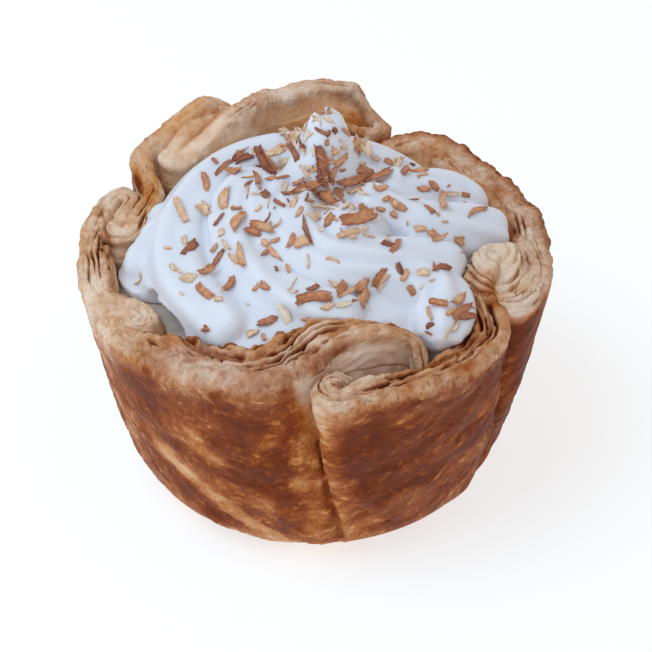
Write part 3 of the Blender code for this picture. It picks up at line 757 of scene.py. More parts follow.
def pastryColours(at):
    # how far each place is browned, and how far its colour turns from that of crumb to the gold of fried
    # leaves
    brown = pastryBrown
    z = at.base[..., 2]
    rimShare = at.top * smoothStep((at.levels - 46.5) / 2.5)
    mottle = noiseAt(at.streak, 9, 9, 3.0, octaves=3, shift=12.0)
    right = smoothStep((at.angle - 284) / 8) * smoothStep((345 - at.angle) / 8)
    wall = brown["wall"] + brown["wallMottle"] * mottle + brown["wallCloud"] * at.cloud
    wall = wall + brown["wallTorn"] * at.tornTone + browned(at.angle, at.levels)
    wall = wall + brown["wallFoot"] * smoothStep((9 - at.levels) / 6)
    wall = wall + brown["underFlap"] * at.byFlap * bump(at.overFlap + 3.0, 3.6)
    wall = wall + brown["tornEdge"] * bump(at.torn - 0.08, 0.07) + brown["seam"] * at.seamStep
    shoulder = brown["shoulder"] + (brown["shoulderRight"] - brown["shoulder"]) * right
    wall = wall + shoulder * smoothStep((at.levels - 43.0 - 3.0 * at.edgeNoise) / 5.0)
    wall = wall + brown["right"] * right

    rim = path["baked"] + brown["rim"] + brown["rimCloud"] * at.cloud
    rim = rim + brown["rimCrumb"] * at.crumb + brown["rimLumps"] * at.lumps
    # the crevices between the leaves are darker: partly browning, partly painted shade
    leaves = brown["leafTone"] * at.tone + brown["leafGap"] * at.gap + brown["leafHeight"] * at.leaf
    rim = rim + at.showing * leaves + path["edgeBrown"] * bump(at.depth, 2.2)
    rim = rim + brown["lip"] * at.lip * at.high + brown["roll"] * at.roll * at.high
    rim = rim + brown["plain"] * at.plain
    rim = rim + brown["rolled"] * at.rolled
    rim = rim + brown["rolledEdge"] * at.rolled * bump(at.rolledAway - 8.0, 1.5)

    left = smoothStep((at.angle - 132) / 20) * smoothStep((204 - at.angle) / 12)
    lining = brown["lining"] + brown["liningCloud"] * at.cloud + brown["liningLeft"] * left
    lining = lining + brown["liningTop"] * smoothStep((z - 52) / 6)
    face = smoothStep((z - 43.5) / 3)  # the tongue's own side, seen over the strip in front of it
    tongue = brown["tongue"] + brown["tongueFace"] * face + brown["tongueCloud"] * at.cloud
    tongue = tongue + brown["tongueLayers"] * at.laminated + brown["tongueTop"] * smoothStep((z - 54) / 4)
    side = np.where(at.shares > 0, wall * (1 - at.folded) + tongue * at.folded, lining)
    # darker where two folded sheets meet: partly browning, partly painted shade
    bake = side + (rim - side) * rimShare + brown["crease"] * at.crease

    gold = pastryGold
    wallGold = gold["wall"] + gold["wallDark"] * smoothStep((wall - 0.72) / 0.2) + gold["cloud"] * at.cloud
    wallGold = wallGold + gold["shoulder"] * smoothStep((at.levels - 40 - 2 * at.edgeNoise) / 6.0)
    leftSide = smoothStep((222 - at.angle) / 10) * smoothStep((at.angle - 180) / 10)
    wallGold = wallGold + gold["left"] * leftSide
    liningGold = gold["lining"] + gold["liningCloud"] * noiseAt(at.base, 7.0, octaves=2, shift=50.0)
    outerGold = wallGold * (1 - at.folded) + (gold["tongue"] + gold["tongueFace"] * face) * at.folded
    sideGold = np.where(at.shares > 0, outerGold, liningGold)
    rimGold = path["gold"] + gold["cloud"] * at.cloud + gold["lipAndRoll"] * (at.lip + at.roll) * at.high
    rimGold = rimGold + gold["leafGap"] * at.gap * at.showing
    return bake, sideGold + (rimGold - sideGold) * rimShare


def pastrySurface(rows, top, before=None, after=None):
    # points and attributes for rows of (level, share); the rows before and after only steady the slope
    # where two pieces join
    at = placesOn(rows, top, before, after)
    points = reliefPoints(at)
    bake, gold = pastryColours(at)
    outerFace = at.outside * (1 - at.folded)
    soft = (1 - outerFace) * (1 - at.top * smoothStep((at.levels - 46.5) / 2.5)) + at.plain
    values = {
        "bake": np.clip(bake, 0, pastryBrown["most"]),
        "gold": np.clip(gold, 0, 1),
        # gap marks the crevices and creases that the shader darkens: partly browning, partly painted shade
        "gap": np.clip(at.gap * at.showing + 0.8 * at.crease, 0, 1),
        "crust": np.clip(outerFace * (1 - at.top * at.high), 0, 1),
        "soft": np.clip(soft, 0, 1),
        "streakX": at.streak[..., 0], "streakY": at.streak[..., 1], "streakZ": at.streak[..., 2],
    }
    return points[1:-1], {name: value[1:-1] for name, value in values.items()}


def closedPiece(name, front, frontValues, back, wrap):
    # the rows that show, closed by plain rows behind them
    hidden = np.stack([sheetRow(*row) for row in back])
    values = {}
    for key, value in frontValues.items():
        values[key] = np.concatenate([value, np.repeat(value[-1:], len(back), axis=0)])
    sharp = [len(front) - 1] + ([0] if wrap else [])
    return gridPiece(name, np.concatenate([front, hidden]), values, wrap, sharp)


def makePastry():
    joint, top, low = pastryCup["joint"], pastryCup["rimHeight"], pastryCup["liningTop"]
    thickness = path["thickness"]
    outer = np.minimum(pastryCup["outerEdge"], 0.34 * thickness)
    inner = np.minimum(pastryCup["innerEdge"], 0.30 * thickness)
    footLevels = (0.0, 0.25, 0.7, 1.4, 2.3, 3.4, 4.6, 6.0)
    underside = [0.0, 0.4, 0.75, 0.92]  # shares of the foot's radius
    wallRows = [(0.0, 1)] * len(underside)
    wallRows += [(level, 1) for level in (*footLevels, *np.linspace(6.6, joint, 62))]
    rimRows = [(joint + (top - outer - joint) * share, 1) for share in np.linspace(0, 1, 9, endpoint=False)]
    for turn in np.linspace(0, math.pi / 2, 9, endpoint=False):
        level = top - outer * (1 - math.sin(turn))
        rimRows.append((level, 1 - 2 * outer / thickness * (1 - math.cos(turn))))
    start, end = 1 - 2 * outer / thickness, -1 + 2 * inner / thickness
    rimRows += [(top, start + (end - start) * share) for share in np.linspace(0, 1, 44, endpoint=False)]
    for turn in np.linspace(math.pi / 2, 0, 6):
        level = top - inner * (1 - math.sin(turn))
        rimRows.append((level, -1 + 2 * inner / thickness * (1 - math.cos(turn))))
    rimRows += [(top - inner - (top - inner - low) * share, -1) for share in np.linspace(0, 1, 6)[1:]]
    liningLevels = [*np.linspace(low, 33.0, 22), 30.0, 26.0, 22.0, 18.0, 14.0, 10.0, 8.0]
    liningRows = [(level, -1) for level in liningLevels]

    wall, wallValues = pastrySurface(wallRows, 0, after=(joint + 0.6, 1))
    wall[:len(underside), :, :2] *= np.array(underside)[:, None, None]
    rim, rimValues = pastrySurface(rimRows, 1, before=(joint - 0.4, 1), after=(low - 0.5, -1))
    lining, liningValues = pastrySurface(liningRows, 0, before=(low + 0.5, -1))
    rim[0], lining[0] = wall[-1], rim[-1]
    for key in wallValues:
        rimValues[key][0], liningValues[key][0] = wallValues[key][-1], rimValues[key][-1]
    wallBack = [(joint - 1, 0.4), (20.0, 0.2), (4.0, 0.2), (3.0, 0.2, 0.5), (3.0, 0.2, 0.0)]
    return [
        closedPiece("pastryWall", wall, wallValues, wallBack, 0),
        closedPiece("pastryRim", rim, rimValues, [(low, -0.5), (joint, 0.5)], 1),
        closedPiece("pastryLining", lining, liningValues, [(8.0, -0.2), (20.0, -0.2), (44.0, -0.2)], 1),
    ]


# the pastry's finish
crustFinish = {
    # the grains in its colour: how fine, then detail, roughness and distortion; fine is lumps to the mm for
    # those that follow the wrinkles, before these are stretched, and lumps to the metre for the others
    "grains": {
        "streaks": (1.0, 3.0, 0.5, 0.5),
        "pale": (2.0, 3.0, 0.5, 0.25),
        "blotches": (260.0, 5.0, 0.6, 0.0),
        "crumbs": (700.0, 4.0, 0.65, 0.0),
        "specks": (1700.0, 2.0, 0.6, 0.0),
        "clouds": (110.0, 3.0, 0.5, 0.0),
    },
    "alongWrinkles": ("streaks", "pale"),
    "wrinkleStretch": (0.20, 0.20, 0.32),
    "steamed": 0.65,  # how much of its crumb the dough loses that steamed under the cream
    "palest": (0.54, 0.68, -0.20),  # where the pale streaks start, where they are full, how much paler
    "crumbly": [
        (0.0, "#EAD3C0"), (0.18, "#DEBBA3"), (0.36, "#C69276"), (0.54, "#A66B50"), (0.74, "#82452A"),
        (1.0, "#622A12"),
    ],
    "fried": [
        (0.0, "#EECDAB"), (0.18, "#E3B489"), (0.36, "#D3965F"), (0.52, "#BD7437"), (0.68, "#9A4D1C"),
        (0.84, "#7C350E"), (1.0, "#692A0A"),
    ],
    # the colour that crevices and creases are multiplied towards: partly the brown of the dough, partly
    # painted shade
    "crevice": "#8A4A2C",
    # how much of each grain is in the browning
    "streaks": 0.38,
    "blotches": 0.54,
    "clouds": 0.8,
    "crumbs": 0.36,
    "specks": 0.12,
}


def bakedPuffPastry():
    # puff pastry, laminated and baked: pinkish beige where it crumbles, gold to red brown where it fried
    material, tree, shader = newMaterial("bakedPuffPastry", {"Specular IOR Level": 0.12})
    value = {}
    for name in ("bake", "gold", "gap", "crust", "soft", "streakX", "streakY", "streakZ"):
        value[name] = addNode(tree, "ShaderNodeAttribute", attribute_name=name).outputs["Fac"]
    place = addNode(tree, "ShaderNodeTexCoord").outputs["Object"]
    streak = addNode(tree, "ShaderNodeCombineXYZ", {axis: value["streak" + axis] for axis in "XYZ"})
    stretched = addNode(tree, "ShaderNodeMapping", {
        "Vector": streak.outputs[0], "Scale": crustFinish["wrinkleStretch"],
    })
    grain = {}
    for name, (scale, detail, roughness, distortion) in crustFinish["grains"].items():
        source = stretched.outputs[0] if name in crustFinish["alongWrinkles"] else place
        grain[name] = addNode(tree, "ShaderNodeTexNoise", {
            "Vector": source, "Scale": scale, "Detail": detail,
            "Roughness": roughness, "Distortion": distortion,
        }).outputs["Fac"]
    firm = addNode(tree, "ShaderNodeMath", {0: value["soft"], 1: -crustFinish["steamed"], 2: 1.0},
                   operation="MULTIPLY_ADD").outputs[0]

    brown = value["bake"]
    masks = {
        "streaks": value["crust"], "blotches": 1.0, "clouds": value["soft"], "crumbs": firm, "specks": firm,
    }
    for name, where in masks.items():
        amount = crustFinish[name]
        centred = addNode(tree, "ShaderNodeMath", {0: grain[name], 1: amount, 2: -amount / 2},
                          operation="MULTIPLY_ADD")
        brown = addNode(tree, "ShaderNodeMath", {0: centred.outputs[0], 1: where, 2: brown},
                        operation="MULTIPLY_ADD").outputs[0]
    starts, full, paler = crustFinish["palest"]
    pale = addNode(tree, "ShaderNodeMapRange", {
        "Value": grain["pale"], "From Min": starts, "From Max": full, "To Max": paler,
    }, interpolation_type="SMOOTHSTEP")
    brown = addNode(tree, "ShaderNodeMath", {0: pale.outputs[0], 1: value["crust"], 2: brown},
                    operation="MULTIPLY_ADD").outputs[0]

    crumbly = addNode(tree, "ShaderNodeValToRGB", {"Fac": brown}, crustFinish["crumbly"])
    fried = addNode(tree, "ShaderNodeValToRGB", {"Fac": brown}, crustFinish["fried"])
    turn = addNode(tree, "ShaderNodeMath", {0: grain["blotches"], 1: 0.8, 2: -0.4},
                   operation="MULTIPLY_ADD")
    turn = addNode(tree, "ShaderNodeMath", {0: value["gold"], 1: turn.outputs[0]}, operation="ADD")
    colour = addNode(tree, "ShaderNodeMix", data_type="RGBA", feeds={
        0: turn.outputs[0], 6: crumbly.outputs["Color"], 7: fried.outputs["Color"],
    })
    # crevices and creases darkened: painted shade as well as browning
    creviceShadeAndBrown = addNode(tree, "ShaderNodeMath", {0: value["gap"], 1: 0.6}, operation="MULTIPLY")
    colour = addNode(tree, "ShaderNodeMix", data_type="RGBA", blend_type="MULTIPLY", feeds={
        0: creviceShadeAndBrown.outputs[0], 6: colour.outputs[2], 7: hexColour(crustFinish["crevice"]),
    })
    tree.links.new(colour.outputs[2], shader.inputs["Base Color"])

    dull = addNode(tree, "ShaderNodeMath", {0: value["crust"], 1: -0.28, 2: 0.98}, operation="MULTIPLY_ADD")
    dull = addNode(tree, "ShaderNodeMath", {0: grain["blotches"], 1: -0.4, 2: dull.outputs[0]},
                   operation="MULTIPLY_ADD")
    tree.links.new(dull.outputs[0], shader.inputs["Roughness"])
    height = grain["specks"]
    for name, amount in (("crumbs", 1.4), ("blotches", 2.0)):
        height = addNode(tree, "ShaderNodeMath", {0: grain[name], 1: amount, 2: height},
                         operation="MULTIPLY_ADD").outputs[0]
    height = addNode(tree, "ShaderNodeMath", {0: height, 1: firm}, operation="MULTIPLY")
    rough = addNode(tree, "ShaderNodeBump", {
        "Height": height.outputs[0], "Strength": 0.75, "Distance": 0.4 * mm,
    })
    tree.links.new(rough.outputs["Normal"], shader.inputs["Normal"])
    return material


pastryPieces = makePastry()
pastryMaterial = bakedPuffPastry()
for piece in pastryPieces:
    piece.data.materials.append(pastryMaterial)
    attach(piece, "root")
    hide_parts("crust")
print("pastry cup made:", sum(len(piece.data.polygons) for piece in pastryPieces), "faces")


def wrapGrid(bm, points):
    # a grid whose columns close to a ring; a row of one place closes to a pole
    rows, columns = points.shape[:2]
    part = bmesh.new()
    bmesh.ops.create_grid(part, x_segments=columns, y_segments=rows - 1, size=1.0)
    around = np.arange(columns + 1) % columns
    for vert, co in zip(part.verts, points[:, around].reshape(-1, 3) * mm):
        vert.co = co
    bmesh.ops.remove_doubles(part, verts=part.verts, dist=1e-6)
    joinInto(bm, part)


roomHeights = np.arange(9.0, 80.0, 1.0)
roomAngles = np.radians(np.arange(0, 360, 2))
roomMost = 44.0  # what the cup's inside is taken to be above the pastry


def cupRoom(pieces):
    # how far from the middle the cup's inside reaches, by height and angle
    bm = bmesh.new()
    for piece in pieces:
        bm.from_mesh(piece.data)
    tree = BVHTree.FromBMesh(bm)
    bm.free()
    reach = np.full((len(roomHeights), len(roomAngles)), roomMost)
    for row, z in enumerate(roomHeights):
        for column, angle in enumerate(roomAngles):
            direction = Vector((math.cos(angle), math.sin(angle), 0))
            distance = tree.ray_cast(Vector((0, 0, z * mm)), direction)[3]
            if distance:
                reach[row, column] = min(distance / mm, roomMost)

    def spread(pick, table, by):
        return pick.reduce([np.roll(table, shift, axis=1) for shift in range(-by, by + 1)])

    opened = spread(np.maximum, spread(np.minimum, reach, 2), 2)  # without the folds' slits
    return spread(np.minimum, opened, 1)


room = cupRoom(pastryPieces[1:])


def roomAt(angle, z):
    column = np.degrees(angle) % 360 / 2
    row = np.clip(np.asarray(z) - roomHeights[0], 0, len(roomHeights) - 1.001)
    first, below = np.floor(column).astype(int), np.floor(row).astype(int)
    share, rise = column - first, row - below
    first, second = first % len(roomAngles), (first + 1) % len(roomAngles)
    low = room[below, first] * (1 - share) + room[below, second] * share
    high = room[below + 1, first] * (1 - share) + room[below + 1, second] * share
    return low + (high - low) * rise


def ringOf(radius, angles, z):
    return np.column_stack([radius * np.cos(angles), radius * np.sin(angles), np.full(len(angles), z)])


def plug(bm, heights, inward):
    # fills the cup between the heights; inward(angle) is the distance kept from the pastry
    angles = np.radians(np.arange(0, 360, 4))
    rings = [ringOf(roomAt(angles, z) - inward(angles), angles, z) for z in heights]
    rings = [ringOf(0.0, angles, heights[0]), *rings, ringOf(0.0, angles, heights[-1])]
    wrapGrid(bm, np.stack(rings))


# the custard, which fills the cup
custardFilling = {
    "foot": 9.0,
    "level": 46.0,
    "dimples": 0.35,
    "overlap": 0.2,  # how far it reaches into the pastry
}


def makeCustard():
    foot, level = custardFilling["foot"], custardFilling["level"]
    angles = np.radians(np.arange(0, 360, 2.5))
    rings = [(0.0, foot)] + [(1.0, z) for z in np.linspace(foot, level - 0.5, 12)]
    shares = (0.985, 0.95, 0.9, 0.85, 0.8, 0.75, 0.7, 0.6, 0.5, 0.35, 0.2, 0.0)  # of its top, to the middle
    rings += [(share, level) for share in shares]
    reach = custardFilling["overlap"]
    points = np.stack([ringOf((roomAt(angles, z) + reach) * share, angles, z) for share, z in rings])
    top = points[..., 2] == level
    points[..., 2] -= top * custardFilling["dimples"] * (1 + noiseAt(points, 4.0, octaves=2))
    bm = bmesh.new()
    wrapGrid(bm, points)
    bmesh.ops.recalc_face_normals(bm, faces=bm.faces)
    return meshObject("custardFilling", bm)


def bakedCustard():
    # custard thickened with starch and set in the cup: moist, with a few darker clouds; its dull grey beige
    # is partly its own colour and partly painted shade of the gap under the cream
    material, tree, shader = newMaterial("bakedCustard", {
        "Roughness": 0.35,
        "IOR": 1.4,
        "Subsurface Weight": 0.3,
        "Subsurface Radius": (1.0, 0.8, 0.5),
        "Subsurface Scale": 1.0 * mm,
    })
    place = addNode(tree, "ShaderNodeTexCoord").outputs["Object"]
    clouds = addNode(tree, "ShaderNodeTexNoise", {"Vector": place, "Scale": 260.0, "Detail": 4.0})
    # grey beige tones, darkened as painted shade of the gap under the cream where the custard shows
    tonesWithPaintedShade = [(0.3, "#9A8C82"), (0.6, "#C0B1A6")]
    colour = addNode(tree, "ShaderNodeValToRGB", {"Fac": clouds.outputs["Fac"]}, tonesWithPaintedShade)
    tree.links.new(colour.outputs["Color"], shader.inputs["Base Color"])
    return material


custard = makeCustard()
custard.data.materials.append(bakedCustard())
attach(custard, "root")
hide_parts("custard")
print("custard made")


# the piped cream
pipedCream = {
    "gap": 0.15,  # to the pastry
    "bedTop": 47.6,  # the cream that lies under the ropes
    "recessAngle": 212.0,  # the custard shows there, where the cream stays back from the pastry
    "recessHalfWidth": 25.0,
    "recessDepth": 7.5,
    "recessTop": 53.5,
    "domeCentre": (6.5, -5.5, 55.5),
    "domeRadius": 8.8,
    "peakFoot": (1.5, 9.0),
    "peakTip": (2.5, 14.0),
    "peak": [  # rows of height and radius
        (56.0, 11.5), (59.0, 10.0), (62.0, 8.0), (66.5, 6.0), (70.0, 4.6), (73.0, 3.2), (74.2, 1.6),
        (74.9, 0.6),
    ],
    "mound": [
        (46.0, 38.0), (50.0, 35.0), (52.5, 30.0), (54.5, 24.0), (56.0, 18.0), (57.5, 11.0), (58.0, 3.0),
    ],
    "moundMiddle": (0.0, 1.0),
    "voxel": 0.42,  # size of its mesh
    "smoothing": 6,
    "ropeSides": 42,
    "sunk": 0.4,  # below the custard's level
    "flutes": 7,  # soft lines that the nozzle leaves along a rope
    "fluteDepth": 0.42,
    "fluteTwist": 1.6,
    # each rope winds clockwise and inward up the mound: rows of x, y, height of the crest, thickness
    "ropes": {
        "left": [
            (-12, -30, 53, 12), (-18, -22, 55, 14), (-25, -9, 56, 16), (-25.5, 6, 57, 16),
            (-18, 21, 59, 15), (-4, 27, 60, 14), (11, 25.5, 58, 13), (23, 20, 53, 12), (31, 9, 51, 10),
        ],
        "front": [
            (12, -23, 55.5, 11), (3, -23, 57, 13), (-7, -18, 58, 13), (-14, -6, 59.5, 13), (-15, 7, 61, 13),
            (-7, 18, 62, 12),
        ],
        "frontRight": [
            (25, -33, 53, 13), (24, -19, 57.5, 14), (15, -15, 59, 11), (4, -15, 60, 10), (-6, -8, 61.5, 11),
            (-9, 3, 63, 12), (-4, 13, 65, 12),
        ],
        "right": [
            (31, -9, 57, 13), (21, -10, 59.5, 12), (11, -12, 61, 10), (2, -11, 62, 10), (-3, -3, 64, 11),
            (-2, 7, 66, 11),
        ],
        "leftFoot": [(-34, -8, 50, 8), (-33.5, -1, 52.5, 11), (-31, 6, 54, 12), (-26, 15, 55.5, 12)],
        "farRight": [
            (38.5, 5, 54.5, 12), (32, 3, 58, 13), (23, 1, 60, 12.5), (14, 3, 62, 11), (7, 8, 65, 10),
        ],
        "backRight": [(36, 13, 53, 11), (27, 14, 58.5, 12), (18, 12, 60.5, 12), (9, 12, 64, 11)],
        "back": [(24, 15, 53, 9), (14, 19, 56.5, 11), (3, 21, 58.5, 11)],
    },
}


def recess(angle):
    away = np.abs((np.degrees(angle) - pipedCream["recessAngle"] + 180) % 360 - 180)
    return pipedCream["recessDepth"] * (1 - smoothStep(away / pipedCream["recessHalfWidth"]))


def throughRows(rows, steps):
    # a smooth line through the rows
    rows = [np.array(row, float) for row in rows]
    rows = [2 * rows[0] - rows[1], *rows, 2 * rows[-1] - rows[-2]]
    line = []
    for a, b, c, d in zip(rows, rows[1:], rows[2:], rows[3:]):
        for t in np.linspace(0, 1, steps, endpoint=False):
            bend = (2 * a - 5 * b + 4 * c - d) * t**2 + (3 * b - a - 3 * c + d) * t**3
            line.append(b + ((c - a) * t + bend) / 2)
    return np.array(line + [rows[-2]])


def addRope(bm, rows):
    line = throughRows(rows, 8)
    centres = line[:, :3] - np.column_stack([0 * line[:, :2], line[:, 3] / 2])
    radii = line[:, 3] / 2
    for i, share in enumerate((0.0, 0.3, 0.62, 0.84, 0.95)):  # round its ends
        radii[i] *= share
        radii[-1 - i] *= share
    ahead = np.gradient(centres, axis=0)
    across = np.cross(ahead, (0, 0, 1))
    across /= np.linalg.norm(across, axis=1)[:, None]
    upward = np.cross(across, ahead)
    upward /= np.linalg.norm(upward, axis=1)[:, None]
    turns = np.linspace(0, 2 * math.pi, pipedCream["ropeSides"], endpoint=False)[None, :, None]
    ring = across[:, None] * np.cos(turns) + upward[:, None] * np.sin(turns)
    twist = np.linspace(0, pipedCream["fluteTwist"], len(radii))
    flutes = np.cos(pipedCream["flutes"] * (turns[..., 0] + twist[:, None]))
    flutes = pipedCream["fluteDepth"] * flutes * np.minimum(radii / radii.max(), 1)[:, None]
    wrapGrid(bm, centres[:, None] + ring * (radii[:, None] + flutes)[..., None])


def addTurned(bm, rows, foot, tip):
    # a round form from rows of height and radius, leaning from its foot to its tip
    turns = np.linspace(0, 2 * math.pi, 36, endpoint=False)
    heights, radii = np.array(rows).T
    share = (heights - heights[0]) / (heights[-1] - heights[0])
    middles = np.column_stack([np.outer(1 - share, foot) + np.outer(share, tip), heights])
    circle = np.stack([np.cos(turns), np.sin(turns), 0 * turns], axis=1)
    rings = middles[:, None] + circle[None] * radii[:, None, None]
    wrapGrid(bm, np.concatenate([middles[:1, None] + 0 * circle, rings, middles[-1:, None] + 0 * circle]))


def keepInside(piece, clearance):
    mesh = piece.data
    co = np.empty(len(mesh.vertices) * 3)
    mesh.vertices.foreach_get("co", co)
    co = co.reshape(-1, 3) / mm
    angle = np.arctan2(co[:, 1], co[:, 0])
    radius = np.hypot(co[:, 0], co[:, 1])
    limit = roomAt(angle, co[:, 2]) - clearance
    limit -= recess(angle) * (1 - smoothStep((co[:, 2] - pipedCream["recessTop"] + 2) / 4))
    co[:, :2] *= np.minimum(1, limit / np.maximum(radius, 1e-6))[:, None]
    co[:, 2] = np.maximum(co[:, 2], custardFilling["level"] - pipedCream["sunk"])
    mesh.vertices.foreach_set("co", (co * mm).ravel())
    mesh.update()


def makeCream():
    bm = bmesh.new()
    low = custardFilling["level"] - pipedCream["sunk"]
    plug(bm, np.linspace(low, pipedCream["bedTop"], 4), lambda angles: pipedCream["gap"] + recess(angles))
    for rows in pipedCream["ropes"].values():
        addRope(bm, rows)
    place = Matrix.Translation(Vector(pipedCream["domeCentre"]) * mm)
    radius = pipedCream["domeRadius"] * mm
    bmesh.ops.create_uvsphere(bm, u_segments=32, v_segments=20, radius=radius, matrix=place)
    addTurned(bm, pipedCream["peak"], pipedCream["peakFoot"], pipedCream["peakTip"])
    addTurned(bm, pipedCream["mound"], pipedCream["moundMiddle"], pipedCream["moundMiddle"])
    bmesh.ops.recalc_face_normals(bm, faces=bm.faces)
    cream = meshObject("pipedCream", bm)
    keepInside(cream, pipedCream["gap"])
    applyModifier(cream, "REMESH", mode="VOXEL", voxel_size=pipedCream["voxel"] * mm)
    applyModifier(cream, "SMOOTH", factor=0.5, iterations=pipedCream["smoothing"])
    keepInside(cream, pipedCream["gap"])
    cream.data.shade_smooth()
    return cream


def whippedCream():
    # cream whipped and piped through a plain nozzle: white, soft and moist, with light bleeding through it
    material, tree, shader = newMaterial("whippedCream", {
        "Base Color": hexColour("#E4E6EF"),
        "Roughness": 0.38,
        "IOR": 1.35,
        "Subsurface Weight": 0.6,
        "Subsurface Radius": (1.0, 0.95, 0.9),
        "Subsurface Scale": 2.5 * mm,
    })
    place = addNode(tree, "ShaderNodeTexCoord").outputs["Object"]
    fine = addNode(tree, "ShaderNodeTexNoise", {"Vector": place, "Scale": 900.0, "Detail": 3.0})
    soft = addNode(tree, "ShaderNodeBump", {
        "Height": fine.outputs["Fac"], "Strength": 0.1, "Distance": 0.1 * mm,
    })
    tree.links.new(soft.outputs["Normal"], shader.inputs["Normal"])
    return material


cream = makeCream()
cream.data.materials.append(whippedCream())
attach(cream, "root")
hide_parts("cream")
print("cream piped:", len(cream.data.polygons), "faces")


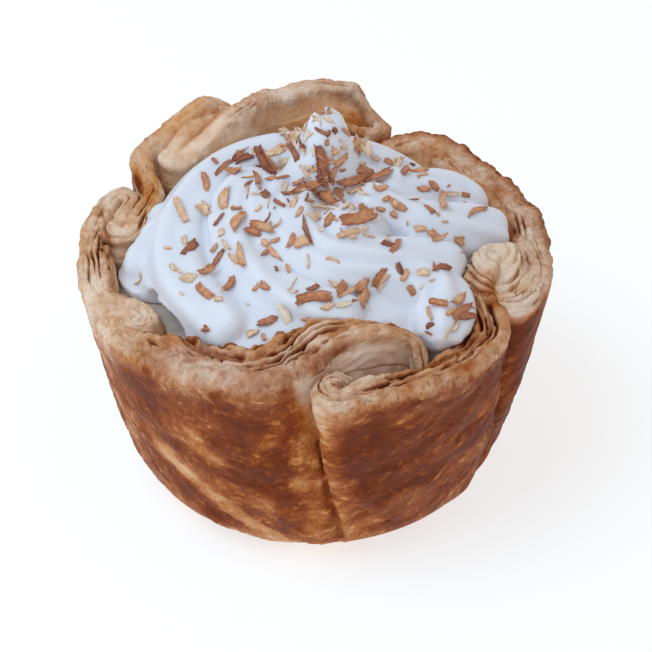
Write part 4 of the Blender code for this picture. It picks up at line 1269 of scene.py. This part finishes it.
# the toasted coconut flakes
coconutFlakes = {
    "thickness": 0.28,
    "tear": 0.35,  # share of a flake's length within which its fibres end
    "seed": 7,
    "pointed": 0.55,  # share of the flakes with sharp ends
    "curl": 0.5,
    "sharpOver": 0.7,  # the angle in radians past which an edge is drawn sharp
    "lift": 0.3,  # of the flake's middle above the cream, as a share of its thickness
    "uneven": (0.7, 1.2),  # between these shares of the thickness
    "lean": 0.16,
    "overEdge": 12.0,  # a flake whose ends lie further apart in depth reaches past an edge of the cream
    "toasts": [0.3, 0.4, 0.55, 0.7, 0.85],
    "within": 31.0,  # of the cup's middle, for what is scattered
    # flakes scattered round a middle: how many, the middle, the spread, their lengths and widths, and how
    # far back they start: some on the cream's back, which doesn't show, then broken bits and fine shreds
    "scattered": [
        (46, (2.0, 12.0), 16.0, (2.5, 7.0), (1.0, 2.2), 18.0),
        (90, (2.0, 4.0), 12.0, (0.6, 1.8), (0.3, 0.6), -99.0),
        (64, (2.0, 4.0), 10.0, (1.8, 4.4), (0.35, 0.8), -99.0),
    ],
    # Where a flake shows in the picture: rows of its two ends in pixels, its width in pixels and how far it
    # is toasted, from 0 white to 1 dark
    "seen": [
        (201, 164, 211, 201, 7.5, 0.70), (175, 198, 187, 224, 6.4, 0.42), (212, 159, 217, 165, 5.5, 0.70),
        (214, 176, 232, 159, 4.0, 0.72), (235, 165, 253, 155, 8.5, 0.88), (226, 172, 241, 175, 10.0, 0.66),
        (226, 187, 222, 212, 10.0, 0.45), (200, 204, 210, 212, 9.0, 0.42), (206, 216, 213, 213, 2.6, 0.40),
        (231, 210, 243, 209, 3.6, 0.72), (231, 236, 243, 214, 10.5, 0.56), (222, 229, 222, 237, 6.5, 0.36),
        (245, 229, 263, 235, 7.5, 0.76), (252, 223, 277, 232, 8.0, 0.56), (248, 184, 249, 199, 3.2, 0.55),
        (251, 195, 263, 194, 3.0, 0.30), (263, 192, 270, 199, 7.0, 0.95), (258, 175, 263, 189, 6.0, 0.78),
        (265, 165, 279, 174, 8.0, 0.95), (266, 178, 276, 178, 7.5, 0.62), (264, 154, 276, 155, 8.0, 0.36),
        (265, 159, 272, 161, 5.0, 0.36), (280, 148, 288, 146, 3.5, 0.60), (288, 142, 298, 164, 8.5, 0.90),
        (236, 152, 249, 148, 2.2, 0.26), (312, 147, 315, 157, 3.2, 0.26), (321, 143, 325, 186, 11.5, 0.88),
        (286, 183, 285, 197, 5.0, 0.40), (293, 186, 305, 178, 5.0, 0.62), (294, 184, 308, 189, 3.8, 0.80),
        (287, 197, 321, 187, 9.5, 0.70), (291, 209, 298, 197, 4.6, 0.38), (256, 212, 262, 205, 4.2, 0.36),
        (311, 203, 328, 208, 2.4, 0.34), (296, 219, 304, 206, 5.0, 0.48), (302, 215, 312, 247, 4.2, 0.92),
        (307, 213, 316, 222, 2.4, 0.32), (316, 211, 320, 220, 3.0, 0.40), (324, 227, 335, 214, 9.0, 0.74),
        (271, 242, 281, 238, 5.5, 0.56), (289, 250, 297, 233, 6.0, 0.62), (294, 247, 309, 240, 9.5, 0.46),
        (262, 240, 269, 246, 7.0, 0.48), (164, 248, 172, 248, 3.6, 0.40), (184, 235, 186, 245, 4.6, 0.36),
        (182, 256, 197, 240, 13.5, 0.90), (171, 264, 177, 271, 5.0, 0.34), (176, 270, 183, 274, 2.0, 0.32),
        (182, 276, 196, 280, 9.5, 0.40), (196, 279, 214, 271, 6.6, 0.58), (213, 268, 225, 249, 6.2, 0.86),
        (213, 254, 220, 244, 7.0, 0.56), (222, 241, 231, 251, 3.0, 0.36), (228, 255, 243, 266, 4.0, 0.46),
        (238, 242, 245, 270, 8.0, 0.52), (225, 291, 236, 275, 7.0, 0.74), (196, 284, 214, 300, 7.4, 0.68),
        (214, 300, 224, 299, 6.6, 0.38), (180, 292, 185, 296, 2.6, 0.26), (246, 304, 250, 305, 2.0, 0.32),
        (254, 292, 261, 283, 3.0, 0.52), (261, 284, 271, 290, 6.0, 0.68), (261, 256, 269, 251, 4.6, 0.70),
        (266, 245, 283, 262, 5.0, 0.52), (276, 267, 278, 272, 2.6, 0.80), (287, 263, 290, 274, 4.0, 0.48),
        (308, 254, 309, 269, 3.0, 0.34), (298, 277, 289, 290, 1.8, 0.24), (288, 292, 300, 292, 4.2, 0.30),
        (295, 299, 334, 294, 9.5, 0.76), (338, 299, 346, 283, 9.0, 0.74), (308, 292, 321, 286, 4.4, 0.80),
        (281, 303, 292, 324, 8.5, 0.16), (257, 326, 280, 319, 8.2, 0.74), (247, 336, 261, 331, 6.5, 0.34),
        (263, 334, 266, 341, 4.0, 0.56), (275, 338, 285, 332, 6.5, 0.88), (204, 329, 210, 332, 6.5, 0.64),
        (138, 287, 143, 272, 5.0, 0.32), (323, 311, 333, 304, 6.0, 0.34), (302, 321, 312, 319, 3.0, 0.50),
        (315, 110, 326, 111, 9.0, 0.62), (322, 117, 335, 124, 3.2, 0.26), (333, 128, 338, 134, 5.0, 0.95),
        (341, 129, 350, 135, 5.5, 0.60), (325, 144, 330, 142, 5.0, 0.68), (330, 150, 339, 155, 6.8, 0.46),
        (334, 168, 349, 155, 5.8, 0.58), (329, 183, 336, 166, 6.2, 0.70), (355, 149, 364, 150, 11.0, 0.66),
        (356, 167, 376, 174, 9.5, 0.70), (331, 188, 367, 180, 8.0, 0.72), (367, 183, 397, 167, 9.5, 0.72),
        (334, 188, 343, 198, 8.0, 0.66), (322, 191, 334, 207, 11.0, 0.68), (311, 203, 339, 209, 2.6, 0.32),
        (342, 211, 351, 205, 4.4, 0.32), (374, 192, 388, 188, 6.4, 0.54), (376, 208, 386, 211, 4.8, 0.66),
        (386, 197, 407, 213, 8.8, 0.64), (383, 202, 391, 197, 4.2, 0.52), (391, 212, 397, 219, 6.2, 0.62),
        (357, 207, 373, 216, 10.5, 0.66), (338, 226, 376, 217, 11.5, 0.70), (337, 237, 362, 230, 5.2, 0.44),
        (349, 237, 358, 236, 4.2, 0.34), (315, 212, 320, 221, 2.8, 0.44), (306, 213, 317, 222, 2.6, 0.30),
        (318, 229, 323, 232, 3.0, 0.28), (362, 230, 369, 229, 4.2, 0.32), (372, 160, 380, 159, 5.4, 0.36),
        (384, 159, 393, 165, 6.2, 0.66), (394, 166, 402, 159, 5.2, 0.50), (401, 174, 409, 166, 8.5, 0.78),
        (409, 171, 429, 170, 6.4, 0.60), (409, 164, 415, 166, 3.4, 0.92), (416, 178, 428, 174, 4.4, 0.48),
        (416, 189, 431, 190, 5.6, 0.60), (430, 181, 440, 191, 8.0, 0.72), (442, 194, 443, 211, 6.4, 0.52),
        (440, 194, 460, 195, 3.4, 0.34), (426, 206, 435, 215, 5.0, 0.74), (437, 214, 440, 216, 3.0, 0.48),
        (464, 216, 485, 206, 4.4, 0.58), (461, 195, 470, 197, 4.4, 0.74), (442, 222, 449, 222, 1.8, 0.40),
        (414, 229, 429, 229, 6.0, 0.44), (430, 231, 442, 239, 7.2, 0.64), (432, 247, 448, 240, 5.0, 0.50),
        (454, 241, 465, 242, 7.4, 0.54), (382, 242, 394, 247, 5.4, 0.94), (392, 254, 401, 239, 5.2, 0.70),
        (387, 238, 391, 243, 4.0, 0.34), (397, 263, 404, 278, 6.8, 0.96), (402, 283, 410, 270, 4.4, 0.50),
        (415, 273, 432, 272, 7.2, 0.36), (431, 270, 451, 268, 6.4, 0.84), (434, 264, 437, 273, 4.0, 0.80),
        (409, 285, 414, 297, 9.0, 0.68), (420, 288, 424, 286, 3.6, 0.22), (430, 282, 436, 279, 1.8, 0.34),
        (372, 288, 385, 267, 5.6, 0.76), (373, 290, 390, 272, 4.8, 0.52), (379, 293, 385, 282, 3.0, 0.24),
        (355, 292, 370, 279, 8.0, 0.58), (337, 301, 357, 289, 4.2, 0.48), (361, 305, 370, 291, 9.5, 0.58),
        (352, 301, 358, 300, 2.2, 0.66), (328, 280, 338, 288, 4.2, 0.36), (335, 307, 353, 303, 5.0, 0.20),
        (430, 304, 452, 308, 6.2, 0.66), (453, 305, 468, 294, 8.5, 0.56), (452, 317, 475, 306, 10.0, 0.72),
        (446, 315, 460, 308, 4.6, 0.52), (458, 318, 476, 316, 7.4, 0.80), (428, 306, 433, 322, 3.4, 0.50),
        (426, 329, 435, 323, 6.0, 0.92), (426, 331, 434, 335, 2.2, 0.70), (446, 340, 448, 328, 2.6, 0.28),
        (451, 334, 459, 321, 4.4, 0.36), (461, 253, 463, 254, 2.4, 0.50), (440, 149, 447, 150, 3.0, 0.50),
        (296, 133, 290, 150, 7.0, 0.30), (308, 123, 303, 133, 4.0, 0.28), (310, 130, 305, 143, 3.4, 0.24),
        (302, 120, 308, 112, 2.6, 0.32), (304, 128, 296, 124, 3.0, 0.36), (313, 112, 307, 121, 3.0, 0.40),
        (289, 141, 300, 137, 2.6, 0.30), (285, 147, 294, 153, 2.8, 0.36),
        (318, 116, 323, 127, 2.4, 0.34), (305, 139, 314, 134, 2.2, 0.30), (300, 147, 307, 153, 2.8, 0.42),
        (298, 128, 303, 138, 2.2, 0.26), (312, 122, 319, 119, 2.0, 0.30),
    ],
}


def flakeShape(rng, length, width):
    # a shred in its own place, along x, across y, up z, in mm: thin fibres side by side, torn off unevenly
    along = np.linspace(-1, 1, 11)
    across = np.linspace(-1, 1, 7)
    u, v = np.meshgrid(along, across)
    pointed = rng.random() < coconutFlakes["pointed"]
    taper = rng.uniform(0.5, 0.95) if pointed else rng.uniform(0.0, 0.3)
    tear = coconutFlakes["tear"] * min(1.0, 2.5 / length + 0.4)
    begins, ends = rng.uniform(0, tear, (2, len(across)))
    slant = rng.uniform(-0.35, 0.35) * width / length
    begins, ends = begins + slant * across, ends - slant * across
    x = (u * (1 - (begins + ends)[:, None] / 2) + (begins - ends)[:, None] / 2) * length / 2
    belly = rng.uniform(-0.35, 0.35)  # the widest place isn't in the middle
    wide = 1 - taper * np.abs(u - belly) ** rng.uniform(1.3, 2.4) / (1 + abs(belly)) ** 2
    bow = rng.normal(0, 0.10) * length * u**2 * 0.5
    ragged = 1 + rng.normal(0, 0.10, u.shape) * (np.abs(v) > 0.6)
    y = v * np.clip(wide, 0.08, 1) * ragged * width / 2 + bow
    curl = rng.normal(0.2, coconutFlakes["curl"]) * width * 0.3
    bend = rng.normal(0.1, 0.5) * min(length, 8) * 0.09
    twist = rng.normal(0, 0.3)
    z = curl * v**2 + bend * u**2 + twist * u * v * width / 2 + 0.03 * width * rng.normal(0, 1, u.shape)
    return u, v, np.stack([x, y, z], axis=-1)


def addFlake(bm, rng, tree, start, end, width, toast):
    # lies on the cream between two places, half a thickness sunk in
    middle = (start + end) / 2
    length = (end - start).length
    along = (end - start).normalized()
    normals = [tree.find_nearest(place)[1] for place in (start, middle, end)]
    normal = (normals[0] + 2 * normals[1] + normals[2]).normalized()
    across = normal.cross(along).normalized()
    normal = along.cross(across).normalized()
    lean = rng.normal(0, coconutFlakes["lean"])
    across, normal = (
        across * math.cos(lean) + normal * math.sin(lean), normal * math.cos(lean) - across * math.sin(lean)
    )
    u, v, shape = flakeShape(rng, length / mm, width)
    sink = -9.0
    for place in (middle, start.lerp(end, 0.25), start.lerp(end, 0.75)):
        found = tree.find_nearest(place)
        sink = max(sink, (found[0] - middle).dot(normal) / mm)
    lift = sink + coconutFlakes["thickness"] * coconutFlakes["lift"]
    part = bmesh.new()
    layer = part.verts.layers.float.new("toast")
    bmesh.ops.create_grid(part, x_segments=u.shape[1] - 1, y_segments=u.shape[0] - 1, size=1.0)
    edge = np.maximum(np.abs(u) ** 3, np.abs(v) ** 3)
    shade = np.clip(toast + 0.12 * (edge - 0.35) * (toast > 0.3) + rng.normal(0, 0.05, u.shape), 0, 1)
    for vert, (x, y, z), value in zip(part.verts, shape.reshape(-1, 3), shade.ravel()):
        vert.co = middle + (along * x + across * y + normal * (z + lift)) * mm
        vert[layer] = value
    thick = coconutFlakes["thickness"] * rng.uniform(*coconutFlakes["uneven"]) * mm
    bmesh.ops.solidify(part, geom=part.faces, thickness=-thick)
    bmesh.ops.recalc_face_normals(part, faces=part.faces)
    for edge in part.edges:
        edge.smooth = edge.calc_face_angle(0.0) < coconutFlakes["sharpOver"]
    joinInto(bm, part)


def cameraAxes():
    # from the pie back to the camera, and up in its picture
    elevation = math.radians(studio["cameraElevation"])
    back = Vector((0, -math.cos(elevation), math.sin(elevation)))
    return back, Vector((0, math.sin(elevation), math.cos(elevation)))


def throughPixel(x, y):
    # the ray of the picture's camera through a pixel of the picture
    back, upward = cameraAxes()
    direction = -back * studio["pixelsPerRadian"] + Vector((x - studio["aimPixel"][0], 0, 0))
    direction -= upward * (y - studio["aimPixel"][1])
    return Vector(studio["aim"]) + back * studio["cameraAway"], direction.normalized()


def makeFlakes(cream):
    rng = np.random.default_rng(coconutFlakes["seed"])
    source = bmesh.new()
    source.from_mesh(cream.data)
    tree = BVHTree.FromBMesh(source)
    source.free()
    bm = bmesh.new()
    bm.verts.layers.float.new("toast")
    scale = studio["cameraAway"] / studio["pixelsPerRadian"] / mm  # mm in a pixel
    missed = 0
    for x0, y0, x1, y1, width, toast in coconutFlakes["seen"]:
        hits = []
        for x, y in ((x0, y0), (x1, y1)):
            eye, direction = throughPixel(x, y)
            hits.append((tree.ray_cast(eye, direction)[0], eye, direction))
        if hits[0][0] is None and hits[1][0] is None:
            missed += 1
            continue
        depth = [(hit - eye).dot(direction) if hit else None for hit, eye, direction in hits]
        depth = [own if own else other for own, other in zip(depth, reversed(depth))]
        if abs(depth[0] - depth[1]) > coconutFlakes["overEdge"] * mm:
            depth = [min(depth)] * 2
        start, end = [eye + direction * far for far, (hit, eye, direction) in zip(depth, hits)]
        addFlake(bm, rng, tree, start, end, width * scale, toast)

    for count, middle, away, lengths, widths, behind in coconutFlakes["scattered"]:
        while count:
            angle = rng.uniform(0, 2 * math.pi)
            radius = abs(rng.normal(0, away))
            x = middle[0] + radius * math.cos(angle)
            y = middle[1] + radius * math.sin(angle)
            length, width = rng.uniform(*lengths), rng.uniform(*widths)
            turn = rng.uniform(0, math.pi)
            toast = rng.choice(coconutFlakes["toasts"])
            if math.hypot(x, y) > coconutFlakes["within"] or y < behind:
                continue
            half = Vector((math.cos(turn), math.sin(turn), 0)) * length / 2 * mm
            ground = tree.ray_cast(Vector((x * mm, y * mm, 0.12)), Vector((0, 0, -1)))[0]
            ends = [tree.find_nearest(ground + side * half)[0] for side in (-1, 1)]
            addFlake(bm, rng, tree, *ends, width, toast)
            count -= 1

    print("flakes that miss the cream:", missed)
    return meshObject("coconutFlakes", bm)


def toastedCoconut():
    # coconut shaved and toasted in an oven: cream white to tan and brown, darker at the edges, oily
    material, tree, shader = newMaterial("toastedCoconut", {
        "Roughness": 0.42,
        "IOR": 1.45,
        "Subsurface Weight": 0.15,
        "Subsurface Radius": (1.0, 0.6, 0.35),
        "Subsurface Scale": 0.6 * mm,
    })
    toast = addNode(tree, "ShaderNodeAttribute", attribute_name="toast").outputs["Fac"]
    place = addNode(tree, "ShaderNodeTexCoord").outputs["Object"]
    spots = addNode(tree, "ShaderNodeTexNoise", {"Vector": place, "Scale": 900.0, "Detail": 4.0})
    mottle = spots.outputs["Fac"]
    shift = addNode(tree, "ShaderNodeMath", {0: mottle, 1: 0.4, 2: -0.2}, operation="MULTIPLY_ADD")
    total = addNode(tree, "ShaderNodeMath", {0: toast, 1: shift.outputs[0]}, operation="ADD")
    colour = addNode(tree, "ShaderNodeValToRGB", {"Fac": total.outputs[0]}, stops=[
        (0.0, "#F3E9DC"), (0.25, "#EBD4BA"), (0.45, "#DDAE88"), (0.62, "#CC8C62"), (0.78, "#B26E4C"),
        (1.0, "#7A4030"),
    ])
    tree.links.new(colour.outputs["Color"], shader.inputs["Base Color"])
    rough = addNode(tree, "ShaderNodeBump", {"Height": mottle, "Strength": 0.5, "Distance": 0.15 * mm})
    tree.links.new(rough.outputs["Normal"], shader.inputs["Normal"])
    return material


# floor, light and camera
studio = {
    "floor": "#A9AEB1",
    "floorGlow": 0.69,  # the floor is a lit table, so the shadows stay light
    "keyEnergy": 3.0,  # one soft light from the left, watts
    "keyColour": "#CEEBFF",  # daylight from a window
    "keySize": 0.6,
    "keyPlace": (-0.36, -0.16, 0.62),
    "surround": 0.55,
    "surroundColour": "#FFFAF6",
    "cameraAway": 0.45,
    "cameraElevation": 38.0,
    "aim": (0.0, 0.0, 0.030),
    "slide": (0.00226, 0.00082),  # of the camera, right and up, to stand the pie where the picture has it
    "pixelsPerRadian": 2188.0,
    "pixels": 652.0,
    "aimPixel": (315.0, 330.0),
}


def makeStudio():
    bm = bmesh.new()
    bmesh.ops.create_grid(bm, x_segments=1, y_segments=1, size=3.0)
    floor = meshObject("studioFloor", bm)
    material, _, _ = newMaterial("paperSweep", {  # matt white paper
        "Base Color": hexColour(studio["floor"]),
        "Roughness": 0.9,
        "Specular IOR Level": 0.1,
        "Emission Color": hexColour("#FFFFFF"),
        "Emission Strength": studio["floorGlow"],
    })
    floor.data.materials.append(material)

    light = bpy.data.lights.new("softbox", "AREA")
    light.shape = "DISK"
    light.size = studio["keySize"]
    light.energy = studio["keyEnergy"]
    light.color = hexColour(studio["keyColour"])[:3]
    box = bpy.data.objects.new("softbox", light)
    box.location = studio["keyPlace"]
    box.rotation_euler = (Vector(studio["aim"]) - box.location).to_track_quat("-Z", "Y").to_euler()
    bpy.context.scene.collection.objects.link(box)

    world = bpy.data.worlds.new("surround")
    world.use_nodes = True
    background = world.node_tree.nodes["Background"]
    background.inputs["Color"].default_value = hexColour(studio["surroundColour"])
    background.inputs["Strength"].default_value = studio["surround"]
    bpy.context.scene.world = world
    bpy.context.scene.view_settings.view_transform = "Standard"

    back, upward = cameraAxes()
    data = bpy.data.cameras.new("camera")
    data.sensor_width = 36.0
    data.lens = studio["pixelsPerRadian"] / studio["pixels"] * data.sensor_width
    data.clip_start = 0.01
    camera = bpy.data.objects.new("camera", data)
    right, up = studio["slide"]
    camera.location = Vector(studio["aim"]) + back * studio["cameraAway"]
    camera.location += Vector((right, 0, 0)) + upward * up
    camera.rotation_euler = (-back).to_track_quat("-Z", "Y").to_euler()
    bpy.context.scene.collection.objects.link(camera)
    bpy.context.scene.camera = camera


flakes = makeFlakes(cream)
flakes.data.materials.append(toastedCoconut())
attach(flakes, "root")
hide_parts("cream")
print("coconut flakes scattered:", len(flakes.data.polygons), "faces")

makeStudio()
print("studio set up")
